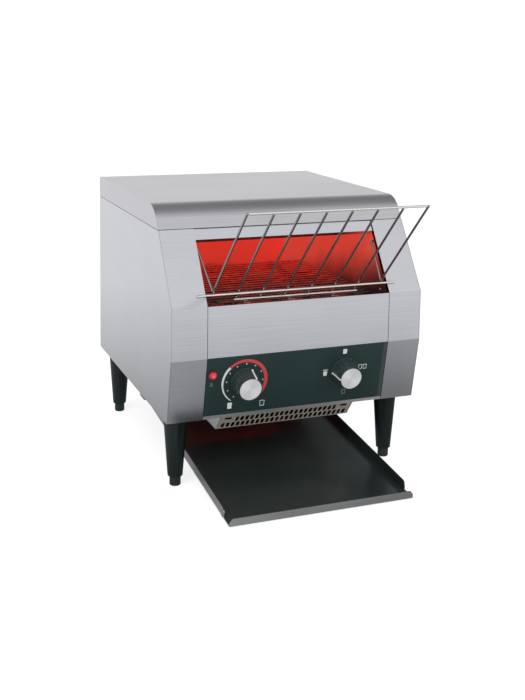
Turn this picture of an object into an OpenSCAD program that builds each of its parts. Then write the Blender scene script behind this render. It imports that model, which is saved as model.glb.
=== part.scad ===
// Conveyor toaster for a counter top. Bread goes down a wire rack at the front, rides a wire belt
// between two banks of heaters, drops down a curved chute at the back and slides out on a tray below.
// Design frame: X to the right, Y to the back from the upright front panel, Z up from the counter.

/* [Body] */
// Width over the side panels
body_w = 368; // [340:1:420]
// Depth from the upright front panel to the back
body_d = 410; // [390:1:460]
// Height of the top above the counter
body_top = 385; // [375:1:410]
// Height of the underside above the counter
base_h = 101; // [98:1:112]
// Thickness of the stainless sheet
sheet = 1.2; // [1:0.1:1.5]
// Gap between neighbouring panels
seam = 0.7; // [0.3:0.1:0.9]
// Clearance of one panel laid against another
lap = 0.3; // [0.2:0.05:0.5]

/* [Front] */
// Height of the lower kink of the front
kink_low_h = 190; // [180:1:196]
// Height of the upper kink of the front
kink_high_h = 260; // [254:1:264]
// How far the bottom edge of the front is tucked back
undercut = 17.5; // [12:0.5:22]
// Lean of the upper front, from upright
slope_deg = 34; // [30:0.5:37]
// How far the top cover's skirts hang below the top
skirt_drop = 31; // [27:1:35]
// Radius of the cover's rounded front edge
crest_r = 38; // [28:1:44]
// Width of each front column
column_w = 50; // [44:1:54]
// Depth of a column's folded inner edge
column_fold = 8; // [5:0.5:9]
// Height of the header strip above the mouth, along the slope
header_h = 16.5; // [12:0.5:20]
// How far the header is set back from the columns
header_set = 2; // [1:0.5:4]
// How far the header reaches up behind the cover
header_tab = 3; // [2:0.5:5]
// Depth of the header's folded edges
header_fold = 9; // [6:0.5:10]

/* [Control panel] */
// Thickness of the dark printed overlay
overlay_t = 0.6; // [0.4:0.1:0.8]
// Height of the bare lip under the overlay
lip_h = 4.5; // [3:0.5:8]
// Distance of the knobs below the lower kink, along the panel
knob_drop = 38.8; // [34:0.2:44]
// Place of the speed knob across the panel
speed_x = -78; // [-90:1:-70]
// Place of the heat selector knob across the panel
mode_x = 70; // [60:1:90]
// Radius of a knob's skirt
knob_r = 20.8; // [18:0.2:23]
// Radius of a knob's grip at its top
grip_r = 16.8; // [15:0.2:17.4]
// Height of a knob
knob_h = 23; // [20:0.5:26]
// Radius of a knob's spindle
spindle_r = 3; // [2.5:0.1:3.5]
// Distance of the pilot lamp from the left column
lamp_inset = 9; // [9:0.5:14]
// Distance of the pilot lamp below the lower kink
lamp_drop = 24; // [18:0.5:34]
// Radius of the pilot lamp's lens
lens_r = 6.6; // [5:0.2:7]

/* [Air intake guard] */
// Width of the guard
guard_w = 202; // [190:2:220]
// Distance of the guard's front edge behind the front panel
guard_y = 33; // [32:0.5:38]
// Depth of the guard below the underside
guard_drop = 31; // [24:0.5:34]
// How far the guard's sloped face runs back
guard_slope = 26; // [20:0.5:32]
// Length of the guard from its front edge to its back
guard_len = 150; // [140:1:158]
// Width of one slot
slot_w = 4.8; // [3.8:0.1:5.2]
// Length of one slot along the slope
slot_l = 11.2; // [9:0.2:12]
// Spacing of the slots
slot_pitch = 7.4; // [7.1:0.1:9]
// Height of the lower row of slots above the guard's lower edge, along the slope
slot_rise = 8; // [7:0.2:9]
// Spacing of the two rows of slots along the slope
slot_row_pitch = 13.2; // [12.8:0.1:14]
// Width of the open seam at each end of the guard's sloped face
guard_seam = 0.8; // [0.5:0.1:1.2]

/* [Conveyor] */
// Pitch of the wire belt
belt_pitch = 14; // [13.5:0.1:14.2]
// Number of pitches in each straight run of the belt
belt_run = 17; // [16:1:17]
// Distance of the belt's ends from the tunnel's side walls
belt_side_gap = 15.5; // [11:0.5:18]
// Radius of the belt wire
belt_wire_r = 1; // [0.8:0.1:1.2]
// Width of one link of the belt
link_w = 8; // [6:0.5:9]
// Distance of the front shaft behind the front panel
shaft_y = 36; // [35:0.5:38]
// Distance of both shafts below the upper kink of the front
shaft_drop = 23.5; // [22.5:0.5:25]
// Radius of both shafts
shaft_r = 4; // [3.5:0.1:4.5]
// Running clearance of shafts and spindles
running = 0.06; // [0.03:0.01:0.09]
// Pitch of the drive chain
chain_pitch = 6.35; // [6.3:0.01:6.4]
// Number of pitches in each straight run of the drive chain
chain_run = 24; // [23:1:25]
// Climb of the drive chain towards the belt shaft
chain_deg = 33.5; // [30:0.5:36]
// Distance of the chain outside the tunnel's side wall
chain_gap = 22.5; // [20.5:0.5:26]

/* [Heating] */
// Radius of a heater tube
heater_r = 4.5; // [3.5:0.1:5]
// Distance of the first upper heater behind the front panel
upper_heater_y = 100; // [96:1:104]
// Distance of the upper heaters below their reflector
upper_heater_drop = 11; // [9:0.5:13]
// Height of the lower heaters above the shafts
lower_heater_rise = 3.5; // [1.5:0.5:5.5]
// Spacing of the upper heaters
upper_heater_pitch = 60; // [50:1:62]
// Spacing of the lower heaters
lower_heater_pitch = 44; // [36:1:48]
// Distance of the upper reflector below the top
reflector_drop = 28; // [25:0.5:30]
// Thickness of the mineral wool on the reflector
wool_t = 17; // [12:1:20]

/* [Feed rack] */
// Radius of the rack wire
rack_r = 1.6; // [1.4:0.1:2]
// Gap between the rack's side wires and the columns
rack_side_gap = 8.5; // [7:0.5:12]
// Climb of the rack from level
rack_deg = 45; // [43:0.5:49]
// Length of the rack above its lower cross wire
rack_len = 175; // [150:1:180]
// Length of the long wires below the lower cross wire
rack_tail = 17; // [14:0.5:18]
// How far the lower cross wire reaches over each column
rack_bar_over = 11; // [7:0.5:16]
// Height of the lower cross wire
rack_bar_h = 273.5; // [271:0.5:278]
// Distance of the rack's pivot behind the front panel
rack_pivot_y = 54; // [53:0.5:56]
// Height of the rack's pivot
rack_pivot_h = 324; // [322:0.5:328]

/* [Toast tray] */
// Clearance between the legs and a tray that stands midway
tray_side_gap = 13; // [12:0.5:18]
// Place of the tray's middle across the machine
tray_x = -5; // [-6:0.5:3]
// Length of the tray along its slope
tray_l = 428; // [410:1:432]
// Fall of the tray towards the front
tray_deg = 5.7; // [5.2:0.1:5.9]
// How far the tray stands out in front of the front panel
tray_out = 97; // [80:1:110]
// Height of the tray's front edge above the counter
tray_lift = 1.5; // [1:0.5:3]
// Height of the tray's side rims
rim_h = 12.5; // [9:0.5:13]
// Distance from the front lip to the rims
rim_start = 22; // [16:1:30]
// Height of the front lip
tray_lip_h = 10.5; // [8:0.5:13]

/* [Return chute] */
// Radius of the chute's bend
chute_r = 145; // [142:1:147]
// Angle over which the chute bends
chute_deg = 78; // [75:1:79]
// Height of the bend's start above the underside
chute_rise = 89; // [88:0.5:92]
// Distance of the chute's lower sides from the tunnel's side walls
chute_side_gap = 14.5; // [12.5:0.5:20]

/* [Legs] */
// Distance of the legs' middles from the outside of the side panels
leg_inset = 23.5; // [22:0.5:26]
// Distance of the front legs behind the front panel
leg_front_y = 55; // [50:1:60]
// Distance of the back legs in front of the back
leg_back_gap = 37; // [30:1:42]
// Radius of a leg at its top
leg_top_r = 17; // [15:0.5:17]
// Radius of a leg at its lower end
leg_low_r = 10.5; // [9:0.5:12]
// Radius of a levelling foot
foot_r = 7.8; // [6:0.1:9]
// Height of a levelling foot
foot_h = 13.8; // [10:0.2:18]
// Radius of a foot's stud
stud_r = 4; // [3:0.1:5]

/* [Cooling fan] */
// Size of the fan's square frame
fan_size = 80; // [76:1:84]
// Thickness of the fan
fan_t = 25; // [20:1:28]
// Place of the fan across the machine
fan_x = -42; // [-50:1:-40]
// Distance of the fan's middle behind the front panel
fan_y = 128; // [122:1:132]
// Number of fan blades
fan_blades = 7; // [5:1:9]

/* [Back] */
// Distance of each block of vent slots from the middle
vent_x = 62; // [55:1:75]
// Height of the lowest vent slots above the underside
vent_rise = 150; // [130:1:160]
// Length of a vent slot
vent_l = 70; // [50:1:80]
// Width of a vent slot
vent_w = 5; // [3:0.5:6]
// Spacing of the vent slots
vent_pitch = 13; // [11:0.5:15]
// Number of vent slots in each block
vent_rows = 6; // [4:1:7]

/* [Cord gland] */
// Radius of the hole for the cord
gland_bore_r = 4.5; // [3.5:0.1:5]
// How far the gland stands out of the back
gland_out = 9; // [6:0.5:14]
// Place of the gland across the back
gland_x = 120; // [100:1:140]
// Height of the gland
gland_h = 135; // [125:1:150]

/* [Hidden] */
$fn = 48;

half_w = body_w / 2;
inner_x = half_w - sheet;
column_x = half_w - column_w;
wall_x = column_x + sheet + lap;
cover_h = body_top - skirt_drop;
shaft_h = kink_high_h - shaft_drop;
chain_x = wall_x + chain_gap;
leg_x = half_w - leg_inset;
lamp_x = lamp_inset - column_x;
reflector_h = body_top - reflector_drop;
upper_heater_h = reflector_h - upper_heater_drop;
lower_heater_h = shaft_h + lower_heater_rise;
chute_bend_h = base_h + chute_rise;
leg_back_y = body_d - leg_back_gap;
eps = 0.01;

// Corners of the side outline, as [distance back, height]
p_base = [undercut, base_h];
p_low = [0, kink_low_h];
p_high = [0, kink_high_h];
p_cover = [(cover_h - kink_high_h) * tan(slope_deg), cover_h];
p_crest = [(body_top - kink_high_h) * tan(slope_deg), body_top];
crest_turn = 90 - slope_deg;
crest_run = crest_r * tan(crest_turn / 2);
crest_centre = [p_crest[0] + crest_run, body_top - crest_r];

// Panel that carries the knobs: its length and its lean
panel_len = sqrt(pow(undercut, 2) + pow(kink_low_h - base_h, 2));
panel_lean = atan2(undercut, kink_low_h - base_h);
panel_half = column_x - seam;
panel_set = overlay_t + 0.2;
panel_fold = 12;

// Levels inside
pan_z = base_h + sheet + 0.2;
pan_top = pan_z + sheet;
wall_inset = 2.5;
box_top = shaft_h - 29.5;
box_back = guard_y + guard_len + 13;
chute_back = body_d - 14;
drop_front = box_back + 9;
drop_back = chute_back - 16;

// Belt and chain
belt_half = wall_x - belt_side_gap;
belt_teeth = 8;
belt_r = wheel_r(belt_teeth, belt_pitch);
back_shaft_y = shaft_y + belt_run * belt_pitch;
belt_pins = 2 * belt_run + belt_teeth;
link_reach = 2.4;
link_dip = 2.65 * belt_wire_r;
link_edge = belt_half - 12;
link_lanes = [[-link_edge, -40, 40, link_edge], [16 - link_edge, -24, 24, link_edge - 16]];
sprocket_xs = [-66, 0, 66];
sprocket_t = 6;
hub_r = 9;
hub_w = 14;
chain_teeth = 14;
chain_wheel_r = wheel_r(chain_teeth, chain_pitch);
chain_pins = 2 * chain_run + chain_teeth;
chain_roller_r = 1.65;
chain_span = chain_run * chain_pitch;
motor_y = back_shaft_y - chain_span * cos(chain_deg);
motor_z = shaft_h - chain_span * sin(chain_deg);
bushing_r = 7;
bushing_flange_r = 9.5;
bushing_len = 8;
motor_r = 26;
motor_len = 48;
gearbox_r = 31;
gearbox_len = 28;
rail_t = 1.6;
rail_top = shaft_h + belt_r - belt_wire_r - 0.3;
rail_ends = 27;
lower_plate_h = lower_heater_h - heater_r - 9;

// Heaters
upper_heater_ys = [for (i = [0:3]) upper_heater_y + i * upper_heater_pitch];
reflector_front = upper_heater_ys[0] - 26;
reflector_bend = upper_heater_ys[3] + 20;
lower_heater_ys = [for (i = [0:3]) (shaft_y + back_shaft_y) / 2 + (i - 1.5) * lower_heater_pitch];
insulator_r = 7;
insulator_len = 12;
heater_end = wall_x + sheet + insulator_len - 2;

// Rack: a long wire passes over the lower cross wire, which lies against the columns
rack_dir = [-cos(rack_deg), sin(rack_deg)];
rack_up = [sin(rack_deg), cos(rack_deg)];
rack_half = column_x - rack_side_gap - rack_r;
rack_pitch = rack_half / 3.5;
rack_bar_half = column_x + rack_bar_over;
rack_bar_y = slope_y(rack_bar_h) - (rack_r + lap) / cos(slope_deg);
rack_bar = [rack_bar_y, rack_bar_h];
rack_weld = 2 * rack_r + 0.1;
rack_foot = rack_bar + rack_weld * rack_up;
rack_top = rack_foot + rack_len * rack_dir;
rack_end = rack_foot - rack_tail * rack_dir;
rack_pin_in = wall_x - 5;
rack_pin_out = wall_x + sheet + 3;

// Tray
tray_half = leg_x - leg_top_r - tray_side_gap;
tray_back_y = tray_l * cos(tray_deg) - tray_out;
hanger_w = 26;
hanger_y = tray_back_y - 28;
hanger_gap = 1.2;

// Legs
leg_top = pan_z - lap;
leg_low = foot_h + lap;
stud_len = 36;
leg_stud_r = 5;
leg_stud_top = pan_top + 14;
leg_nut_r = 9;
leg_nut_h = 8;

// Fan
fan_z = pan_top + lap;
fan_bore_r = fan_size / 2 - 3;
fan_hub_r = 15;
fan_pin_r = 1.5;

// The origin stands on the counter in the middle of the whole machine, rack and gland included
front_end = rack_top[0] - rack_r;
back_end = body_d + gland_out;
frame_y = -(front_end + back_end) / 2;

function wheel_r(teeth, pitch) = pitch / (2 * sin(180 / teeth));
function slope_y(h) = (h - kink_high_h) * tan(slope_deg);
// A point on the sloped upper front, measured down from the cover and inwards
function slope_point(down, inward) = p_cover
    + down * [-sin(slope_deg), -cos(slope_deg)] + inward * [cos(slope_deg), -sin(slope_deg)];
// Pin i of a closed chain round two equal wheels, with the first wheel at the origin
function loop_pin(i, teeth, pitch, run) =
    let (k = i % (2 * run + teeth), r = wheel_r(teeth, pitch), step = 360 / teeth)
    k < run ? [k * pitch, r]
    : k < run + teeth / 2 ? [run * pitch + r * sin((k - run) * step), r * cos((k - run) * step)]
    : k < 2 * run + teeth / 2 ? [(2 * run + teeth / 2 - k) * pitch, -r]
    : [r * sin((k - 2 * run) * step), r * cos((k - 2 * run) * step)];
function loop_angle(i, teeth, pitch, run) =
    let (a = loop_pin(i, teeth, pitch, run), b = loop_pin(i + 1, teeth, pitch, run))
    atan2(b[1] - a[1], b[0] - a[0]);

// Draws a side outline, given as [distance back, height], and runs it along X
module along_x(x_from, x_to) {
    translate([x_from, 0, 0])
        rotate([90, 0, 90])
            linear_extrude(x_to - x_from) children();
}

// Side outline of the body, drawn in by a wall on every side, with its front top corner rounded
module outline(wall) {
    turn_r = crest_r - wall;
    foot_y = undercut + wall / cos(panel_lean) - wall * tan(panel_lean);
    corner = [slope_y(body_top - wall) + wall / cos(slope_deg), body_top - wall];
    difference() {
        polygon([[foot_y, base_h + wall], [wall, kink_low_h + wall * tan(panel_lean / 2)],
            [wall, kink_high_h - wall * tan(slope_deg / 2)], corner,
            [body_d - wall, body_top - wall], [body_d - wall, base_h + wall]]);
        difference() {
            polygon([crest_centre, crest_centre + turn_r * [-cos(slope_deg), sin(slope_deg)],
                corner + [-5, 5], crest_centre + [0, turn_r]]);
            translate(crest_centre) circle(r = turn_r, $fn = 96);
        }
    }
}

// The skin between the outline and the same outline drawn in by a wall
module skin(wall) {
    difference() {
        outline(0);
        outline(wall);
    }
}

// A strip behind the front faces, from the underside to the cover
module front_strip(depth) {
    top = [slope_y(cover_h - seam), cover_h - seam];
    polygon([p_base, p_low, p_high, top, top + [depth, 0], p_high + [depth, 0],
        p_low + [depth, 0], p_base + [depth, 0]]);
}

// Stands its children on the knob panel: X across, Y up the panel, Z out towards the user
module on_panel(x, drop) {
    translate([x, drop * sin(panel_lean), kink_low_h - drop * cos(panel_lean)])
        rotate([90 + panel_lean, 0, 0]) children();
}

module at_shaft(y) {
    translate([0, y, shaft_h]) rotate([0, 90, 0]) children();
}

module rod_x(x_from, x_to, r) {
    translate([x_from, 0, 0]) rotate([0, 90, 0]) cylinder(r = r, h = x_to - x_from);
}

// A run of round wire through a list of points, with a ball at every bend and end
module wire(points, r) {
    for (i = [0:len(points) - 2]) {
        d = points[i + 1] - points[i];
        translate(points[i]) rotate([0, acos(d[2] / norm(d)), atan2(d[1], d[0])])
            cylinder(r = r, h = norm(d), $fn = 24);
    }
    for (p = points) translate(p) sphere(r = r + 0.03, $fn = 24);
}

// ---- Outer panels ----

// Folded stainless cover: top, rounded front edge and two side skirts
module top_cover() {
    color([0.78, 0.78, 0.8]) {
        along_x(-half_w, half_w) intersection() {
            skin(sheet);
            translate([0, cover_h]) square([body_d - 2 * sheet, body_top]);
        }
        for (x = [-half_w, inner_x]) along_x(x, x + sheet) intersection() {
            outline(0);
            translate([0, cover_h]) square([body_d, body_top]);
        }
        along_x(-half_w, half_w)
            translate([body_d - 2 * sheet - eps, body_top - sheet]) square([2 * sheet + eps, sheet]);
    }
}

module side_panel(x) {
    flange = half_w - leg_x - leg_top_r - 1;
    flange_x = x < 0 ? x : x + sheet - flange;
    color([0.8, 0.8, 0.82]) {
        along_x(x, x + sheet) intersection() {
            outline(0);
            square([body_d, cover_h - seam]);
        }
        translate([flange_x, undercut + 20, base_h]) cube([flange, body_d - undercut - 30, sheet]);
    }
}

// Back wall with two blocks of vent slots and the hole for the gland
module rear_panel() {
    color([0.72, 0.72, 0.74]) difference() {
        translate([lap - inner_x, body_d - sheet, base_h])
            cube([2 * (inner_x - lap), sheet, body_top - base_h - sheet - lap]);
        for (side = [-1, 1], i = [0:vent_rows - 1])
            translate([side * vent_x, body_d, base_h + vent_rise + i * vent_pitch]) vent_slot(vent_l, vent_w);
        translate([gland_x, body_d + 1, gland_h]) rotate([90, 0, 0]) cylinder(r = gland_bore_r + 4, h = 10);
        for (p = rear_screw_places()) translate([p[0], body_d + 1, p[1]])
            rotate([90, 0, 0]) cylinder(r = 1.7, h = 10, $fn = 24);
    }
}

module vent_slot(len, h) {
    rotate([90, 0, 0]) linear_extrude(10, center = true) {
        square([len - h, h], center = true);
        for (s = [-1, 1]) translate([s * (len - h) / 2, 0]) circle(d = h, $fn = 24);
    }
}

function rear_screw_places() = [for (x = [-1, 0, 1], z = [base_h + 14, body_top - 16])
    [x * (inner_x - 14), z]];

// Floor of the machine, open at the back where the toast drops and under the fan
module base_pan() {
    front = undercut + panel_fold + 2;
    color([0.6, 0.6, 0.62]) difference() {
        translate([lap - inner_x, front, pan_z])
            cube([2 * (inner_x - lap), body_d - sheet - lap - front, sheet]);
        translate([-wall_x + 7, drop_front, pan_z - 1])
            cube([2 * (wall_x - 7), drop_back - drop_front, sheet + 2]);
        translate([fan_x, fan_y, pan_z - 1]) cylinder(r = fan_bore_r, h = sheet + 2);
        for (p = leg_places()) translate([p[0], p[1], pan_z - 1])
            cylinder(r = leg_stud_r + lap, h = sheet + 2);
    }
}

// One front column: sloped, upright and tucked-back faces with a folded inner edge
module column() {
    color([0.82, 0.84, 0.87]) {
        along_x(column_x, inner_x - 0.2) intersection() {
            skin(sheet);
            front_strip(column_fold + 6);
        }
        along_x(column_x, column_x + sheet) intersection() {
            outline(0);
            front_strip(column_fold);
        }
    }
}

// Channel above the mouth, set back a little so that it lies in the cover's shadow
module front_header() {
    color([0.86, 0.87, 0.9]) along_x(-panel_half, panel_half) {
        difference() {
            slope_box(lap, header_h, header_set, header_set + header_fold);
            slope_box(lap + sheet, header_h - sheet, header_set + sheet, header_set + header_fold + 1);
        }
        slope_box(-header_tab, lap + sheet / 2, header_set, header_set + sheet);
    }
}

module slope_box(down_from, down_to, in_from, in_to) {
    polygon([slope_point(down_from, in_from), slope_point(down_to, in_from),
        slope_point(down_to, in_to), slope_point(down_from, in_to)]);
}

// Upright front panel with a hem along its top and a fold along its bottom
module middle_panel() {
    hem = 8;
    low = kink_low_h + 0.3;
    color([0.76, 0.77, 0.8]) {
        translate([-panel_half, 0, low]) cube([2 * panel_half, sheet, kink_high_h - low]);
        translate([-panel_half, 0, kink_high_h - sheet]) cube([2 * panel_half, 2 * sheet + 0.2, sheet]);
        translate([-panel_half, sheet + 0.2, kink_high_h - hem]) cube([2 * panel_half, sheet, hem]);
        translate([-panel_half, 0, low]) cube([2 * panel_half, 12, sheet]);
    }
}

// Sheet that carries the knobs, with a bare lip along its lower edge
module control_panel() {
    foot = panel_len - 0.3;
    color([0.7, 0.72, 0.74]) difference() {
        union() {
            on_panel(0, foot) translate([-panel_half, 0, -panel_set - sheet])
                cube([2 * panel_half, foot - 0.6, sheet]);
            on_panel(0, foot) translate([-panel_half, 0, -panel_set - sheet])
                cube([2 * panel_half, lip_h, sheet + panel_set]);
            on_panel(0, foot) translate([-panel_half, 0, -panel_fold])
                cube([2 * panel_half, sheet, panel_fold - panel_set - sheet + eps]);
        }
        panel_holes(5);
    }
}

// Holes through the panel for two control necks and the lamp
module panel_holes(depth) {
    for (x = [speed_x, mode_x]) on_panel(x, knob_drop)
        translate([0, 0, -depth]) cylinder(r = neck_r() + 0.1, h = 2 * depth);
    on_panel(lamp_x, lamp_drop) translate([0, 0, -depth]) cylinder(r = lens_r - 1, h = 2 * depth);
}

function neck_r() = spindle_r + 1.9;

module panel_overlay() {
    foot = panel_len - 0.3;
    color([0.13, 0.17, 0.17]) difference() {
        on_panel(0, foot) translate([-panel_half, lip_h, -panel_set])
            cube([2 * panel_half, foot - 0.8 - lip_h, overlay_t]);
        panel_holes(4);
    }
}

// Dark sheet that leads the bread from the front panel down to the belt
module feed_sill() {
    fold = 9;
    front_y = 2 * sheet + 0.2 + lap;
    back_y = shaft_y - belt_r - belt_wire_r - 2;
    front_z = kink_high_h - 0.6;
    back_z = shaft_h + belt_r - 1.5;
    color([0.12, 0.12, 0.13]) along_x(-panel_half, panel_half)
        polygon([[front_y, front_z], [back_y, back_z], [back_y, back_z - fold],
            [back_y - sheet, back_z - fold], [back_y - sheet, back_z - sheet / 2],
            [front_y + sheet, front_z - 1.5 * sheet], [front_y + sheet, front_z - fold],
            [front_y, front_z - fold]]);
}

// Slotted box under the front: it lets cooling air in and keeps fingers off the hot floor
module intake_guard() {
    top_z = pan_z - lap;
    low_z = base_h - guard_drop;
    back_y = guard_y + guard_len;
    half = guard_w / 2;
    color([0.7, 0.68, 0.64]) difference() {
        union() {
            along_x(-half, half) difference() {
                guard_outline(0, low_z, top_z, back_y);
                guard_outline(sheet, low_z, top_z + 1, back_y);
            }
            for (x = [-half, half - sheet]) along_x(x, x + sheet)
                guard_outline(0, low_z, top_z, back_y);
        }
        guard_slots(low_z, top_z);
    }
}

module guard_outline(wall, low_z, top_z, back_y) {
    polygon([[guard_y + 1.5 * wall, top_z], [guard_y + guard_slope + 0.6 * wall, low_z + wall],
        [back_y - wall, low_z + wall], [back_y - wall, top_z]]);
}

module guard_slots(low_z, top_z) {
    rise = top_z - low_z;
    tilt = atan2(guard_slope, rise);
    face = norm([guard_slope, rise]);
    rows = [slot_rise, slot_rise + slot_row_pitch];
    counts = [floor((guard_w - 16) / slot_pitch) + 1, floor((guard_w - 50) / slot_pitch) + 1];
    seam_x = guard_w / 2 - sheet - 0.4 - guard_seam / 2;
    translate([0, guard_y + guard_slope, low_z]) rotate([90 + tilt, 0, 0]) {
        for (row = [0, 1], i = [0:counts[row] - 1])
            translate([(i - (counts[row] - 1) / 2) * slot_pitch, rows[row], 0]) slot_cut(slot_w, slot_l);
        for (s = [-1, 1]) {
            translate([s * (guard_w / 2 - 13), rows[1] + 3.5, 0]) slot_cut(11, slot_w);
            translate([s * seam_x, face / 2, 0]) slot_cut(guard_seam, face - 7);
        }
    }
}

// Cut with round ends, standing across the sloped face
module slot_cut(w, l) {
    r = min(w, l) / 2;
    dx = w / 2 - r;
    dy = l / 2 - r;
    linear_extrude(8, center = true) {
        square([max(2 * dx, 2 * r), max(2 * dy, 2 * r) - (dy > 0 ? 0 : eps)], center = true);
        for (s = [-1, 1]) translate([s * dx, s * dy]) circle(r = r, $fn = 24);
    }
}

// ---- Inner structure ----

// Side wall of the heated tunnel, which carries the shafts, heaters and rack pivots
module wall_plate(x) {
    top_z = reflector_h + 8;
    color([0.2, 0.2, 0.21]) difference() {
        along_x(x, x + sheet) intersection() {
            outline(wall_inset);
            translate([0, pan_top + 0.2]) square([chute_back + sheet + 1, top_z - pan_top]);
        }
        for (y = [shaft_y, back_shaft_y]) translate([x - 1, y, shaft_h]) rod_x(0, 4, bushing_r);
        for (y = upper_heater_ys) translate([x - 1, y, upper_heater_h]) rod_x(0, 4, heater_r + running);
        for (y = lower_heater_ys) translate([x - 1, y, lower_heater_h]) rod_x(0, 4, heater_r + running);
        translate([x - 1, rack_pivot_y, rack_pivot_h]) rod_x(0, 4, rack_r + running);
        if (x > 0) translate([x - 1, motor_y, motor_z]) rod_x(0, 4, shaft_r + 2);
    }
}

// Bright sheet over the upper heaters, bent down behind them
module upper_reflector() {
    end = chute_back - 3;
    drop = 26;
    half = wall_x - lap;
    color([0.85, 0.55, 0.4]) along_x(-half, half) {
        polygon([[reflector_front, reflector_h], [reflector_bend, reflector_h], [end, reflector_h - drop],
            [end, reflector_h - drop + sheet], [reflector_bend + 0.3, reflector_h + sheet],
            [reflector_front, reflector_h + sheet]]);
        translate([reflector_front, reflector_h - 12]) square([sheet, 12 + sheet]);
    }
}

module insulation_pad() {
    front = reflector_front + wool_t + 1;
    half = wall_x - 2;
    color([0.85, 0.82, 0.7]) translate([-half, front, reflector_h + sheet + lap])
        cube([2 * half, reflector_bend - 2 - front, wool_t]);
}

// Tray-shaped sheet under the lower heaters, inside the loop of the belt
module lower_reflector() {
    front = shaft_y + rail_ends;
    back = back_shaft_y - rail_ends;
    half = wall_x - lap;
    color([0.75, 0.5, 0.4]) {
        translate([-half, front, lower_plate_h]) cube([2 * half, back - front, sheet]);
        for (y = [front, back - sheet]) translate([-half, y, lower_plate_h]) cube([2 * half, sheet, 7]);
    }
}

// Upright strips that carry the belt and steady the lower heaters
module belt_rails() {
    front = shaft_y + rail_ends + sheet + 0.2;
    back = back_shaft_y - rail_ends - sheet - 0.2;
    low = lower_plate_h + sheet + 0.1;
    color([0.5, 0.5, 0.52]) for (x = sprocket_xs) difference() {
        translate([x - rail_t / 2, front, low]) cube([rail_t, back - front, rail_top - low]);
        for (y = lower_heater_ys) translate([x - rail_t, y, lower_heater_h])
            rod_x(0, 2 * rail_t, heater_r + running);
    }
}

// Shelf and back wall that keep the heat off the controls and the motor
module control_box() {
    half = wall_x - lap;
    front = column_fold + 1.5;
    color([0.55, 0.55, 0.57]) along_x(-half, half) {
        translate([front, box_top]) square([box_back - front, sheet]);
        translate([box_back - sheet, pan_top + 0.2]) square([sheet, box_top - pan_top]);
    }
}

// Curved sheet behind the belt: the toast runs down it and forward onto the tray
module return_chute() {
    centre = [chute_back - chute_r, chute_bend_h];
    split_h = base_h + 11;
    upper_half = wall_x - lap;
    top_z = reflector_h - 27;
    color([0.8, 0.45, 0.35]) {
        along_x(-upper_half, upper_half) {
            translate([chute_back - sheet, chute_bend_h]) square([sheet, top_z - chute_bend_h]);
            intersection() {
                chute_band(centre);
                translate([centre[0], split_h]) square([chute_r, chute_bend_h - split_h]);
            }
        }
        along_x(chute_side_gap - wall_x, wall_x - chute_side_gap) intersection() {
            chute_band(centre);
            translate([centre[0], 0]) square([chute_r, split_h]);
        }
    }
}

module chute_band(centre) {
    far = 2 * chute_r;
    translate(centre) intersection() {
        difference() {
            circle(r = chute_r, $fn = 128);
            circle(r = chute_r - sheet, $fn = 128);
        }
        polygon([[0, 0], [far, 0], [far, -far], [far * cos(chute_deg), -far * sin(chute_deg)]]);
    }
}

// ---- Conveyor ----

// One strand of the belt: a cross wire with links that reach round the next strand
module strand(lanes) {
    dip = atan2(link_dip, belt_pitch + link_reach);
    reach = norm([belt_pitch + link_reach, link_dip]) + belt_wire_r;
    thick = 2 * belt_wire_r;
    rod_x(-belt_half, belt_half, belt_wire_r, $fn = 24);
    for (lane = lanes) translate([lane, 0, 0]) rotate([-dip, 0, 0])
        linear_extrude(thick, center = true) difference() {
            translate([-link_w / 2 - belt_wire_r, 0]) square([link_w + thick, reach]);
            translate([-link_w / 2 + belt_wire_r, -1]) square([link_w - thick, reach + 1 - thick]);
        }
}

module conveyor_belt() {
    color([0.75, 0.75, 0.77]) for (i = [0:belt_pins - 1]) {
        pin = loop_pin(i, belt_teeth, belt_pitch, belt_run);
        translate([0, shaft_y + pin[0], shaft_h + pin[1]])
            rotate([loop_angle(i, belt_teeth, belt_pitch, belt_run), 0, 0])
                strand(link_lanes[i % 2]);
    }
}

// Toothed wheel of the belt; its teeth stand between the cross wires
module belt_sprocket() {
    root = belt_r - 3;
    difference() {
        union() {
            rotate([0, 90, 0]) cylinder(r = hub_r, h = hub_w, center = true);
            rotate([90, 0, 90]) linear_extrude(sprocket_t, center = true) {
                circle(r = root, $fn = 64);
                for (i = [0:belt_teeth - 1]) rotate((i + 0.5) * 360 / belt_teeth)
                    polygon([[root - 2, -5.2], [belt_r + 0.8, -2.4], [belt_r + 0.8, 2.4], [root - 2, 5.2]]);
            }
        }
        rotate([0, 90, 0]) cylinder(r = shaft_r, h = 2 * hub_w, center = true);
    }
}

module belt_sprockets(y) {
    color([0.6, 0.6, 0.62]) for (x = sprocket_xs) translate([x, y, shaft_h]) belt_sprocket();
}

module shaft(y, right_end) {
    left_end = wall_x + sheet + bushing_len;
    color([0.7, 0.7, 0.72]) at_shaft(y) {
        translate([0, 0, -left_end]) cylinder(r = shaft_r, h = left_end + right_end);
        for (x = [-wall_x + 2.5, wall_x - 5.5]) translate([0, 0, x]) cylinder(r = shaft_r + 2.5, h = 3);
    }
}

// Four flanged bronze bushings in the side walls
module shaft_bushings() {
    color([0.7, 0.5, 0.25]) for (y = [shaft_y, back_shaft_y], side = [-1, 1])
        translate([0, y, shaft_h]) rotate([0, side * 90, 0]) difference() {
            union() {
                translate([0, 0, wall_x - 1]) cylinder(r = bushing_r, h = bushing_len);
                translate([0, 0, wall_x + sheet]) cylinder(r = bushing_flange_r, h = 2.5);
            }
            cylinder(r = shaft_r + running, h = 2 * wall_x);
        }
}

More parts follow.
